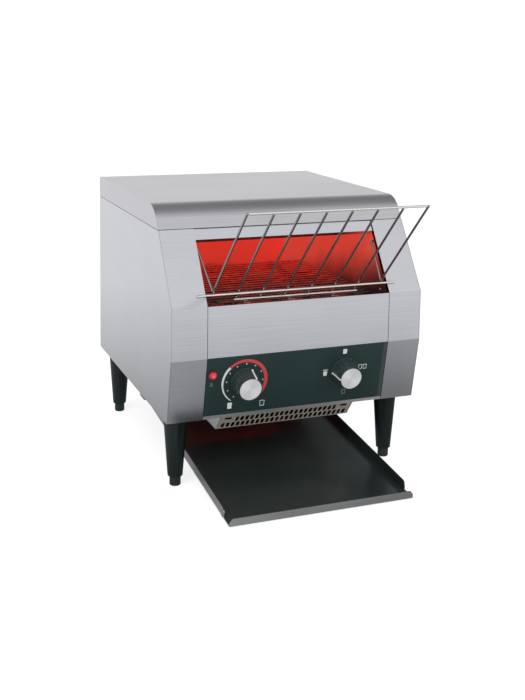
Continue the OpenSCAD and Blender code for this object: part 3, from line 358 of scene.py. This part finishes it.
def polar(radius, degrees):
    """A point at a distance and an angle from the middle of a mark."""
    return (radius * math.cos(math.radians(degrees)), radius * math.sin(math.radians(degrees)))


def ring_strip(start, start_width, end, end_width):
    """A stretch of the speed dial's ring, whose width changes from one angle to the other."""
    inner_edge = []
    outer_edge = []
    for i in range(ring_steps + 1):
        share = i / ring_steps
        angle = start + (end - start) * share
        width = start_width + (end_width - start_width) * share
        inner_edge.append(polar(ring_r - width, angle))
        outer_edge.append(polar(ring_r, angle))
    return [inner_edge, outer_edge]


def disc(middle, radius, steps=20):
    """Outline of a round dot."""
    edge = [polar(radius, 360 * i / steps) for i in range(steps)]
    return [(middle[0] + right, middle[1] + up) for right, up in edge]


def bar(half_width, low, high):
    """Outline of a short level bar."""
    return [(-half_width, low), (half_width, low), (half_width, high), (-half_width, high)]


def slice_edge(width, height, right=0.0, up=0.0):
    """Outline of a slice of bread: straight sides, a rounded base and a domed, lobed top."""
    half = [(0.40, -0.5), (0.44, -0.46), (0.44, 0.12), (0.5, 0.2), (0.5, 0.34), (0.42, 0.46), (0.22, 0.5)]
    mirrored = [(-x, y) for x, y in half]
    edge = mirrored[:1] + half + mirrored[:0:-1]
    return [(right + x * width, up + y * height) for x, y in edge]


def slice_outline(width, height, line, right=0.0, up=0.0):
    """A slice of bread drawn as a line round its edge."""
    inner = slice_edge(width - 2 * line, height - 2 * line, right, up)
    outer = slice_edge(width, height, right, up)
    return [inner + inner[:1], outer + outer[:1]]


printed = {"smooth": 0.4, "rough": 0.5, "size": 1800.0, "depth": 0.04}
white_ink = speckled("white_ink", (0.78, 0.79, 0.78), (0.6, 0.61, 0.6), **printed)
red_ink = speckled("red_ink", (0.63, 0.062, 0.055), (0.52, 0.055, 0.05), **printed)
grey_ink = speckled("grey_ink", (0.3, 0.32, 0.31), (0.22, 0.24, 0.23), **printed)

# The ring's angles and widths, from its thin white end round to its wide red end.
ring_r = 0.033
ring_steps = 60
ring_start = 236
ring = ((ring_start, 0.0012), (180, 0.0028), (135, 0.0036), (90, 0.0044), (0, 0.005), (-59, 0.0044))
stretches = [ring_strip(*first, *last) for first, last in zip(ring, ring[1:])]
ink("speed_ring_white", white_ink, stretches[:2], speed_x, knob_drop)
ink("speed_ring_red", red_ink, stretches[2:], speed_x, knob_drop)

dots_r = 0.026
dot_pitch = 29.5
dots = [disc(polar(dots_r, ring_start - dot_pitch * i), radius=0.0009) for i in range(11)]
ink("speed_dots", white_ink, dots, speed_x, knob_drop)

ink("speed_slice_light", white_ink, [slice_edge(0.0068, 0.0092)], x=-0.097, drop=0.0735)
ink("speed_slice_dark", white_ink, [slice_outline(0.0074, 0.0088, line=0.0009)], x=-0.050, drop=0.0746)
ink("mode_slice_top", white_ink, [slice_edge(0.0066, 0.0070)], x=0.068, drop=0.0087)
ink("mode_slices_right", white_ink, [slice_outline(0.0060, 0.0072, line=0.0008, right=side)
                                     for side in (-0.0036, 0.0036)], x=0.098, drop=0.035)
ink("mode_slice_bottom", grey_ink, [slice_outline(0.0062, 0.0066, line=0.0008)], x=0.0725, drop=0.0715)
ink("mode_slice_left", white_ink, [slice_edge(0.0060, 0.0070, up=-0.0012),
                                   bar(0.0036, low=0.0036, high=0.0048)], x=0.041, drop=0.039)
ink("lamp_mark", grey_ink, [disc((0.0, 0.0), radius=0.0010, steps=12),
                            bar(0.0022, low=-0.0034, high=-0.0026)], x=-0.1255, drop=0.0375)

# ---- Dials ----
# Fluted black phenolic knobs on turned steel spindles. Each has a white line up its grip and a spun
# aluminium disc pressed into its top. Behind the panel they turn a control in a brown phenolic case.

# the two pale fans on the caps are a painted highlight
highlight_fans_turn = 0.4  # radians, twice the angle that the fans are turned by
knob_plastic = speckled("knob_plastic", (0.027, 0.044, 0.042), (0.08, 0.10, 0.097),
                        smooth=0.13, rough=0.22)
finish(knob_plastic, "speed_knob", "mode_knob")


def spun_metal(name, centre, normal):
    """Fine rings round the middle of a turned disc, crossed by two pale fans of painted highlight."""
    material, surface = new_material(name, Metallic=0.35, Roughness=0.25, Anisotropic=0.8,
                                     Anisotropic_Rotation=0.25)
    tree = surface.id_data
    from_centre = calculate_vector(tree, "SUBTRACT", coordinates(tree), centre)
    height = calculate_vector(tree, "DOT_PRODUCT", from_centre, normal)
    rise = calculate_vector(tree, "SCALE", normal, Scale=height)
    flat = calculate_vector(tree, "SUBTRACT", from_centre, rise)
    radius = calculate_vector(tree, "LENGTH", flat)
    spread = add_node(tree, "ShaderNodeCombineXYZ", {"X": radius}).outputs[0]
    rings = noise(tree, spread, 2600.0, 2.0)
    side = Vector((1, 0, 0))
    across = calculate_vector(tree, "DOT_PRODUCT", flat, side)
    upwards = calculate_vector(tree, "DOT_PRODUCT", flat, side.cross(normal))
    turned = calculate(tree, "ARCTAN2", upwards, across)
    twice_round = calculate(tree, "SINE", calculate(tree, "MULTIPLY_ADD", turned, 2.0, highlight_fans_turn))
    # painted highlight: two pale fans across the rings
    painted_highlight_fans = rescale(tree, twice_round, start=-1.0, high=0.75)
    tone = calculate(tree, "MULTIPLY_ADD", rings, 0.3, painted_highlight_fans)
    around = add_node(tree, "ShaderNodeTangent", direction_type="RADIAL", axis="Y").outputs[0]
    fill(surface, {"Base Color": mix_colors(tree, tone, (0.74, 0.76, 0.79, 1), (0.97, 0.98, 0.99, 1)),
                   "Normal": relief(tree, rings, 0.35, 0.0003), "Tangent": around})
    return material


panel_out = Vector((0, -math.cos(panel_lean), -math.sin(panel_lean)))
for name, x in (("speed", speed_x), ("mode", mode_x)):
    finish(spun_metal(name + "_cap_metal", panel_spot(x, knob_drop), panel_out), name + "_knob_cap")

# Radius and height of the points that the white line passes on a knob, from the skirt to the cap.
knob_h = 0.023
ridge = [(0.0202, 0.0034), (0.0193, 0.0036), (0.0190, 0.0040), (0.0170, knob_h + 0.00025),
         (0.0158, knob_h + 0.00045)]
line_half = 0.0011
line_proud = 0.00035
line_t = 0.0006


def pointer(name, x, degrees, body):
    """White line from the knob's skirt up its tapered grip to the cap."""
    mesh = bmesh.new()
    angle = math.radians(degrees)
    rows = []
    for depth in (0.0, -line_t):
        for side in (-line_half, line_half):
            row = []
            for radius, height in ridge:
                reach = radius + line_proud + depth
                right = reach * math.cos(angle) - side * math.sin(angle)
                up = reach * math.sin(angle) + side * math.cos(angle)
                row.append(mesh.verts.new(panel_spot(x + right, knob_drop - up, height)))
            rows.append(row)
    a, b, c, d = rows
    for i in range(len(ridge) - 1):
        for p, q in ((a, b), (b, d), (d, c), (c, a)):
            mesh.faces.new((p[i], q[i], q[i + 1], p[i + 1]))
    for i in (0, len(ridge) - 1):
        mesh.faces.new((a[i], b[i], d[i], c[i]))
    mesh_piece(name, mesh, white_ink, body)


pointer("speed_pointer", speed_x, degrees=65, body="speed_dial")
pointer("mode_pointer", mode_x, degrees=180, body="mode_dial")

turned_steel = brushed_steel("turned_steel", (0.62, 0.62, 0.64), (0.5, 0.5, 0.52), (900.0, 260.0, 260.0),
                             smooth=0.25, rough=0.38)
finish(turned_steel, "speed_spindle", "mode_spindle", "drive_shaft", "idler_shaft", "drive_sprockets",
       "idler_sprockets")
phenolic = speckled("brown_phenolic", (0.035, 0.022, 0.015), (0.07, 0.055, 0.045),
                    smooth=0.35, rough=0.5)
finish(phenolic, "speed_control", "mode_switch")

# ---- Pilot lamp ----
# A clear red lens with a lit neon behind it, pressed into the panel. A pale spot at the dome's tip is a
# painted highlight, and the lens darkens towards its rim.

lamp_x = -0.125
lamp_drop = 0.024
dome_h = 0.0069
rim_from = 0.0040  # distances from the dome's tip
rim_dark_at = 0.0066
tip_highlight_edge = 0.0030
tip_highlight_full_at = 0.0008
lens, surface = new_material("lamp_lens", Roughness=0.12, Transmission_Weight=0.35, IOR=1.49,
                             Coat_Weight=0.6, Emission_Strength=0.22)
tree = surface.id_data
place = coordinates(tree)
facets = add_node(tree, "ShaderNodeTexVoronoi", {"Vector": place, "Scale": 700.0}).outputs["Distance"]
lit = mix_colors(tree, facets, (0.9, 0.04, 0.05, 1), (0.55, 0.01, 0.02, 1))
from_tip = calculate_vector(tree, "DISTANCE", place, panel_spot(lamp_x, lamp_drop, dome_h))
rim = rescale(tree, from_tip, start=rim_from, end=rim_dark_at)
rimmed = mix_colors(tree, rim, lit, (0.13, 0.004, 0.008, 1))
# painted highlight: a pale spot at the dome's tip
painted_tip_highlight = rescale(tree, from_tip, start=tip_highlight_edge, end=tip_highlight_full_at)
lens_red = mix_colors(tree, painted_tip_highlight, rimmed, (1.0, 0.22, 0.25, 1))
fill(surface, {"Base Color": lens_red, "Emission Color": lens_red})
finish(lens, "pilot_lamp")

# ---- Heated tunnel ----
# Black-enamelled side walls and sill, reflectors, and the curved chute behind the belt. The heaters' red
# light is painted on the walls, reflectors and chute, in their colour and as a glow; it is strongest near
# the heaters and dies off downwards.
# A pad of mineral wool lies on the upper reflector.


def build_painted_heater_light():
    """The heaters' red light, painted on a sheet in its colour and as a glow, from none to full along one
    direction.

    Only faces that look at the sheet's own middle point get it.
    """
    tree, given, out = new_group(
        "painted_heater_light",
        {"Towards": (0.0, 0.0, 1.0), "Unlit at": 0.2, "Fully lit at": 0.33, "Middle": (0.0, 0.02, 0.27),
         "Unlit": (0.08, 0.02, 0.015, 1), "Lit": (0.8, 0.05, 0.02, 1)},
        {"Color": "Color", "Painted glow": "Color", "Roughness": "Float"})
    place = coordinates(tree)
    reach = calculate_vector(tree, "DOT_PRODUCT", place, given["Towards"])
    haze = noise(tree, place, 16.0, 4.0)
    level = calculate(tree, "ADD", reach, rescale(tree, haze, low=-0.02, high=0.02))
    # painted light: the heaters' red light, from none to full along one direction
    painted_light = rescale(tree, level, given["Unlit at"], given["Fully lit at"], interpolation_type="SMOOTHSTEP")
    inwards = calculate_vector(tree, "SUBTRACT", given["Middle"], place)
    facing_in = calculate_vector(tree, "DOT_PRODUCT", coordinates(tree, "Normal"), inwards)
    inner_painted_light = calculate(tree, "MULTIPLY", painted_light, calculate(tree, "GREATER_THAN", facing_in, 0.0))
    color = mix_colors(tree, inner_painted_light, given["Unlit"], given["Lit"])
    fill(out, {"Color": color,
               "Painted glow": mix_colors(tree, inner_painted_light, (0, 0, 0, 1), color),
               "Roughness": rescale(tree, haze, low=0.4, high=0.62)})
    return tree


PAINTED_HEATER_LIGHT = build_painted_heater_light()


def painted_light_sheet(name, unlit_at, fully_lit_at, unlit_color, lit_color, strength, towards=(0.0, 0.0, 1.0), metallic=0.3,
              middle=(0.0, 0.02, 0.27)):
    """Metal or enamel with the heaters' red light painted on it, in its colour and as a glow, from unlit to
    fully lit the further it lies in one direction.
    """
    material, surface = new_material(name, Metallic=metallic, Emission_Strength=strength)
    feed(surface, PAINTED_HEATER_LIGHT, {"Towards": towards, "Unlit at": unlit_at, "Fully lit at": fully_lit_at,
                              "Unlit": (*unlit_color, 1), "Lit": (*lit_color, 1), "Middle": middle},
         {"Base Color": "Color", "Emission Color": "Painted glow", "Roughness": "Roughness"})
    return material


# the heaters' red light is painted on these sheets, in their colour and as a glow
finish(painted_light_sheet("upper_reflector_steel", unlit_at=0.26, fully_lit_at=0.33, unlit_color=(0.3, 0.05, 0.035),
                 lit_color=(0.70, 0.075, 0.048), strength=0.3), "upper_reflector")
finish(painted_light_sheet("chute_steel", unlit_at=0.205, fully_lit_at=0.235, unlit_color=(0.035, 0.035, 0.035),
                 lit_color=(0.68, 0.045, 0.03), strength=0.62), "return_chute")
finish(painted_light_sheet("lower_reflector_steel", unlit_at=0.20, fully_lit_at=0.26, unlit_color=(0.08, 0.04, 0.035),
                 lit_color=(0.2, 0.04, 0.03), strength=0.05), "lower_reflector")
finish(painted_light_sheet("wall_enamel", unlit_at=0.215, fully_lit_at=0.295, unlit_color=(0.018, 0.02, 0.021),
                 lit_color=(0.60, 0.07, 0.045), strength=0.60, towards=(0.0, 0.25, 0.97), metallic=0.0),
       "left_wall", "right_wall")
sill_enamel = speckled("sill_enamel", (0.015, 0.014, 0.014), (0.05, 0.03, 0.025), smooth=0.35, rough=0.5)
finish(sill_enamel, "feed_sill")
wool = speckled("mineral_wool", (0.55, 0.5, 0.38), (0.72, 0.68, 0.56), smooth=0.85, rough=1.0,
                size=260.0, depth=0.9)
finish(wool, "insulation_pad")

# ---- Screws in the mouth's cheeks ----
# Two small nickel-plated pan-head screws, one in each side wall just behind the mouth, with a cross
# recess. They hold the walls to the front columns.

head_r = 0.0026
head_h = 0.0014
head_steps = 32
# Shares of the head's radius and height: the rings of its dome, and the recess's arms and corners.
dome = ((1.0, 0.0), (1.0, 0.35), (0.86, 0.75), (0.6, 0.94), (0.42, 1.0))
recess_arm = (0.40, 0.35)
recess_corner = (0.13, 0.9)


def screw_head(name, seat, inward):
    """Domed head on the point seat, standing out along inward, with a cross recess."""
    side = inward.orthogonal().normalized()
    rise = inward.cross(side)
    mesh = bmesh.new()
    angles = [2 * math.pi * i / head_steps for i in range(head_steps)]

    def head_point(angle, share, lift):
        outward = math.cos(angle) * side + math.sin(angle) * rise
        return mesh.verts.new(seat + head_r * share * outward + head_h * lift * inward)

    rings = [[head_point(angle, *shares) for angle in angles] for shares in dome]
    rings.append([head_point(angle, *(recess_arm if abs(math.sin(2 * angle)) < 0.5 else recess_corner))
                  for angle in angles])
    for low, high in zip(rings, rings[1:]):
        for i in range(head_steps):
            j = (i + 1) % head_steps
            mesh.faces.new((low[i], low[j], high[j], high[i]))
    mesh.faces.new(rings[-1])
    mesh.faces.new(rings[0][::-1])
    mesh_piece(name, mesh, screw_steel)


cheek_y = panel_front + 0.0314
cheek_h = 0.258
for name, node, face, inward in (("left_cheek_screw", "left_wall", 1, 1),
                                 ("right_cheek_screw", "right_wall", 0, -1)):
    wall_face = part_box(node)[face][0]
    screw_head(name, Vector((wall_face, cheek_y, cheek_h)), Vector((inward, 0, 0)))

# ---- Heaters ----
# Steel-sheathed tubes: four over the belt glow orange-red, and four dim ones lie inside its loop.
# They are held at both ends in white ceramic bushes, where the sheath is cooler.

hot_half = 0.10  # the sheath is at full heat as far as this from the middle
wall_half = 0.137  # and is cool from here on


def build_sheath_glow():
    """Scaly hot sheath that is cooler towards both ends of the tube."""
    tree, given, out = new_group(
        "sheath_glow", {"Lit": (0.9, 0.2, 0.05, 1), "Cool end": (0.1, 0.05, 0.04, 1)}, {"Color": "Color"})
    place = coordinates(tree)
    patchy = rescale(tree, noise(tree, place, 60.0, 3.0), high=0.35)
    worn = mix_colors(tree, patchy, given["Lit"], given["Cool end"])
    from_middle = calculate(tree, "ABSOLUTE", split(tree, place)["X"])
    cooler = rescale(tree, from_middle, start=hot_half, end=wall_half)
    fill(out, {"Color": mix_colors(tree, cooler, worn, given["Cool end"])})
    return tree


SHEATH = build_sheath_glow()
for node, lit_color, strength in (("upper_heaters", (1.0, 0.16, 0.03, 1), 0.9),
                            ("lower_heaters", (0.4, 0.05, 0.02, 1), 0.08)):
    sheath, surface = new_material(node + "_sheath", Roughness=0.6, Emission_Strength=strength)
    feed(surface, SHEATH, {"Lit": lit_color}, {"Base Color": "Color", "Emission Color": "Color"})
    finish(sheath, node)
ceramic = speckled("ceramic", (0.74, 0.71, 0.64), (0.6, 0.56, 0.48), smooth=0.5, rough=0.7,
                   size=500.0, depth=0.3)
finish(ceramic, "heater_insulators")

# ---- Conveyor ----
# A belt of hooked steel wire strands runs over toothed wheels on two shafts. The heaters' red light is
# painted on the wires, in their colour and as a glow, growing from the dark front to the back; the shafts
# turn in sintered bronze bushes.

# painted light: the heaters' red light on the belt, strongest at the back
belt_wire = painted_light_sheet("belt_wire_steel", unlit_at=-0.13, fully_lit_at=0.04, unlit_color=(0.07, 0.06, 0.055),
                      lit_color=(0.50, 0.035, 0.022), strength=0.50, towards=(0.0, 1.0, 0.0), metallic=0.6,
                      middle=(0.0, 0.0, 0.6))
finish(belt_wire, "conveyor_belt")
bronze = brushed_steel("sintered_bronze", (0.56, 0.36, 0.16), (0.4, 0.24, 0.1), EVEN_GRAIN,
                       smooth=0.4, rough=0.55)
finish(bronze, "shaft_bushings")

# ---- Chain drive and motor ----
# An oiled roller chain from the geared motor, low in the machine, to the belt's rear shaft. The
# gearbox is a grey casting, and the motor on it is painted black.

chain_steel = brushed_steel("oiled_chain", (0.3, 0.29, 0.28), (0.16, 0.15, 0.14), (800.0, 800.0, 800.0),
                            smooth=0.25, rough=0.42)
finish(chain_steel, "drive_chain", "chain_wheel", "motor_sprocket")
cast_case = speckled("cast_case", (0.42, 0.43, 0.44), (0.34, 0.35, 0.35), smooth=0.4, rough=0.55,
                     size=600.0, depth=0.4, Metallic=0.9)
finish(cast_case, "gearbox")
motor_paint = speckled("motor_paint", (0.03, 0.03, 0.032), (0.06, 0.06, 0.06), smooth=0.35, rough=0.5)
finish(motor_paint, "motor")

# ---- Fan, terminals and gland ----
# Fittings in the cool part of the machine: a fan moulded in black plastic, a nylon terminal block,
# and a rubber gland in the back wall for the supply cord.

moulded_black = speckled("moulded_black", (0.014, 0.014, 0.015), (0.03, 0.03, 0.03),
                         smooth=0.4, rough=0.55)
finish(moulded_black, "fan_frame", "fan_rotor")
terminal_nylon = speckled("terminal_nylon", (0.66, 0.64, 0.58), (0.55, 0.53, 0.47), smooth=0.4, rough=0.5)
finish(terminal_nylon, "terminal_block")
gland_rubber = speckled("gland_rubber", (0.02, 0.02, 0.02), (0.05, 0.05, 0.05), smooth=0.6, rough=0.8,
                        size=500.0, depth=0.3)
finish(gland_rubber, "cord_gland")

# ---- Intake guard ----
# Slotted stainless box under the front. Its face stands right over the toast and has the toast's colour
# painted on it as a painted reflection, its two ends stay grey, and its inside and the edges of the slots
# are painted near black as painted shade.

guard_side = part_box("intake_guard")[1][0]
end_from = 0.97 * guard_side  # an end faces sideways and lies at least this far from the middle
face_out = (0, -0.8, -0.6)  # the way that the sloped face looks
face_turn = 0.5  # how much of that way a face looks, at least

# painted reflection: the face's beige is the toast's colour
guard_steel = brushed_steel("guard_steel", (0.86, 0.78, 0.67), (0.74, 0.66, 0.55), ALONG_X,
                            smooth=0.3, rough=0.42)
surface, clean = opened(guard_steel)
tree = surface.id_data
facing = coordinates(tree, "Normal")
ahead = calculate(tree, "GREATER_THAN", calculate_vector(tree, "DOT_PRODUCT", facing, face_out), face_turn)
outward = calculate(tree, "MULTIPLY", split(tree, coordinates(tree))["X"], split(tree, facing)["X"])
guard_end = calculate(tree, "GREATER_THAN", outward, end_from)
grey_end = mix_colors(tree, guard_end, clean, (0.89, 0.92, 0.92, 1))
# painted shade: everything but the face and the ends, the inside and the slot edges, turns near black
outer = calculate(tree, "MAXIMUM", ahead, guard_end)
fill(surface, {"Base Color": mix_colors(tree, outer, (0.03, 0.025, 0.02, 1), grey_end), "Metallic": 0.35})
finish(guard_steel, "intake_guard")

# ---- Feed rack ----
# Bent and welded bright-plated wire. The slats and side wires stand over the mouth, and are a darker plating
# than the cross wires.

drawn_wire = {"along": (300.0, 300.0, 300.0), "smooth": 0.16, "rough": 0.28, "depth": 0.05}
rack_plate = brushed_steel("rack_plating", (0.94, 0.92, 0.90), (0.80, 0.78, 0.75), **drawn_wire)
finish(rack_plate, "rack_cross_wires")
darker_plate = brushed_steel("darker_plating", (0.48, 0.47, 0.46), (0.36, 0.35, 0.34), **drawn_wire)
finish(darker_plate, "rack_side_wires", "rack_slats")

# ---- Toast tray ----
# A folded steel tray. Its inside has a dark non-stick coat; the upright faces that look outwards
# are bare brushed steel.

tray_low, tray_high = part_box("tray")
tray_middle = ((tray_low[0] + tray_high[0]) / 2, (tray_low[1] + tray_high[1]) / 2, 0.0)
outside_from = 0.02  # an outside face looks away from the middle and lies at least this far from it

coat, surface = new_material("tray_finish", Specular_IOR_Level=0.65)
tree = surface.id_data
coated = feed(surface, SPECKLE, {"Color": (0.014, 0.02, 0.019, 1), "Dust": (0.03, 0.036, 0.033, 1),
                                 "Smooth": 0.18, "Rough": 0.26, "Size": 700.0, "Depth": 0.1},
              {"Normal": "Normal"})
steel = feed(surface, BRUSHED, {"Light": (0.70, 0.71, 0.72, 1), "Dark": (0.56, 0.57, 0.58, 1),
                                "Along": (9.0, 9.0, 900.0), "Smooth": 0.34, "Rough": 0.46}, {})
facing = split(tree, coordinates(tree, "Normal"))
level_facing = add_node(tree, "ShaderNodeCombineXYZ", {"X": facing["X"], "Y": facing["Y"]}).outputs[0]
from_middle = calculate_vector(tree, "SUBTRACT", coordinates(tree), tray_middle)
outward = calculate_vector(tree, "DOT_PRODUCT", from_middle, level_facing)
outside = calculate(tree, "GREATER_THAN", outward, outside_from)
upright = calculate(tree, "LESS_THAN", facing["Z"], 0.5)
bare = calculate(tree, "MULTIPLY", outside, upright)
rough = add_node(tree, "ShaderNodeMix", {"Factor": bare, 2: coated["Roughness"], 3: steel["Roughness"]},
                 data_type="FLOAT").outputs[0]
fill(surface, {"Base Color": mix_colors(tree, bare, coated["Color"], steel["Color"]),
               "Roughness": rough, "Metallic": bare})
finish(coat, "tray")

# ---- Legs and levelling feet ----
# Tapered glossy black nylon legs, bolted to the floor. Each has a foot of a duller nylon that
# screws in and out.

leg_nylon = speckled("leg_nylon", (0.003, 0.010, 0.010), (0.009, 0.018, 0.018), smooth=0.16, rough=0.26,
                     size=800.0, depth=0.05)
finish(leg_nylon, "legs")
foot_nylon = speckled("foot_nylon", (0.013, 0.026, 0.027), (0.038, 0.052, 0.052), smooth=0.26, rough=0.36,
                      size=800.0, depth=0.08)
for corner in ("front_left", "front_right", "rear_left", "rear_right"):
    finish(foot_nylon, "foot_" + corner)

# ---- Counter, light and camera ----
# A plain white counter and backdrop with soft light from above. Bright metal mirrors a graded grey studio in
# their place; the counter that it mirrors is darkest close to the machine, as a painted shadow.

scene = bpy.context.scene
counter_h = -0.0002
counter_reach = 12.0
counter_mesh = bmesh.new()
counter_mesh.faces.new([counter_mesh.verts.new((x * counter_reach, y * counter_reach, counter_h))
                        for x, y in ((-1, -1), (1, -1), (1, 1), (-1, 1))])
counter_data = bpy.data.meshes.new("counter")
counter_mesh.to_mesh(counter_data)
counter_mesh.free()
counter = bpy.data.objects.new("counter", counter_data)
scene.collection.objects.link(counter)


def grey_ramp(tree, share, stops, interpolation):
    """A slightly cool grey that follows a list of places and levels."""
    node = add_node(tree, "ShaderNodeValToRGB", {"Fac": share})
    ramp = node.color_ramp
    ramp.interpolation = interpolation
    while len(ramp.elements) < len(stops):
        ramp.elements.new(0.5)
    for stop, (at, level) in zip(ramp.elements, stops):
        stop.position = at
        stop.color = (level, level, level * 1.02, 1)
    return node.outputs["Color"]


shade_middle = (0.12, 0, 0)
shade_reach = 2.5
shade_stops = ((0.11, 0.22), (0.16, 0.40), (0.22, 0.52), (0.30, 0.66), (0.40, 0.76), (0.50, 0.85),
               (1.0, 0.88))

counter_white = bpy.data.materials.new("counter_white")
counter_white.use_nodes = True
tree = counter_white.node_tree
tree.nodes.clear()
path = add_node(tree, "ShaderNodeLightPath").outputs
in_metal = calculate(tree, "MAXIMUM", path["Is Glossy Ray"], path["Is Transmission Ray"])
# painted shadow: in reflections the counter darkens close to the machine
away = rescale(tree, calculate_vector(tree, "DISTANCE", coordinates(tree), shade_middle), end=shade_reach)
shade = grey_ramp(tree, away, shade_stops, "LINEAR")
matt = add_node(tree, "ShaderNodeBsdfDiffuse", {"Color": (0.5, 0.5, 0.5, 1)})
bright = add_node(tree, "ShaderNodeEmission",
                  {"Color": (0.76, 0.76, 0.76, 1), "Strength": path["Is Camera Ray"]})
plain = add_node(tree, "ShaderNodeAddShader", {0: matt.outputs[0], 1: bright.outputs[0]})
mirrored = add_node(tree, "ShaderNodeEmission", {"Color": shade})
either = add_node(tree, "ShaderNodeMixShader", {0: in_metal, 1: plain.outputs[0], 2: mirrored.outputs[0]})
add_node(tree, "ShaderNodeOutputMaterial", {"Surface": either.outputs[0]})
counter_data.materials.append(counter_white)

studio_stops = ((0.0, 0.80), (0.09, 0.78), (0.18, 0.42), (0.30, 0.25), (0.45, 0.29), (0.57, 0.47),
                (0.68, 0.95), (1.0, 0.95))
world = bpy.data.worlds.new("studio")
scene.world = world
world.use_nodes = True
tree = world.node_tree
tree.nodes.clear()
path = add_node(tree, "ShaderNodeLightPath").outputs
direction = split(tree, coordinates(tree, "Generated"))
overhead = rescale(tree, calculate(tree, "ARCTAN2", direction["Z"], direction["Y"]), end=math.pi)
graded = grey_ramp(tree, overhead, studio_stops, "B_SPLINE")
studio = add_node(tree, "ShaderNodeBackground", {"Color": graded, "Strength": 1.0})
backdrop = add_node(tree, "ShaderNodeBackground", {"Color": (1, 1, 1, 1), "Strength": 1.0})
choice = add_node(tree, "ShaderNodeMixShader",
                  {0: path["Is Camera Ray"], 1: studio.outputs[0], 2: backdrop.outputs[0]})
add_node(tree, "ShaderNodeOutputWorld", {"Surface": choice.outputs[0]})


def soft_lamp(name, place, target, width, length, power):
    """A large flat lamp turned to a target. Metal doesn't mirror it."""
    light = bpy.data.lights.new(name, "AREA")
    light.shape = "RECTANGLE"
    light.size = width
    light.size_y = length
    light.energy = power
    lamp = bpy.data.objects.new(name, light)
    lamp.location = place
    lamp.rotation_euler = (Vector(target) - Vector(place)).to_track_quat("-Z", "Y").to_euler()
    lamp.visible_glossy = False
    scene.collection.objects.link(lamp)


soft_lamp("key_left", (-1.6, -1.6, 2.0), (0, 0, 0.2), width=1.6, length=1.2, power=26)
soft_lamp("fill_right", (1.8, -1.2, 1.2), (0, 0, 0.2), width=1.4, length=1.4, power=10)
soft_lamp("top_light", (0, 0.2, 2.4), (0, 0, 0), width=2.0, length=1.6, power=16)

camera_place = Vector((-0.5620, panel_front - 1.2737, 0.5927))
turn = math.radians(21.519)
tilt = math.radians(7.093)
roll = math.radians(0.886)
look = Vector((math.sin(turn) * math.cos(tilt), math.cos(turn) * math.cos(tilt), -math.sin(tilt)))
level_right = Vector((math.cos(turn), -math.sin(turn), 0))
level_up = level_right.cross(look)
right = math.cos(roll) * level_right + math.sin(roll) * level_up
up = -math.sin(roll) * level_right + math.cos(roll) * level_up
lens_data = bpy.data.cameras.new("camera")
lens_data.lens = 54.07
lens_data.sensor_width = 36.0
lens_data.shift_y = -0.24
lens_data.clip_start = 0.01
camera = bpy.data.objects.new("camera", lens_data)
camera.matrix_world = Matrix.Translation(camera_place) @ Matrix((right, up, -look)).transposed().to_4x4()
scene.collection.objects.link(camera)
scene.camera = camera
scene.view_settings.view_transform = "Standard"
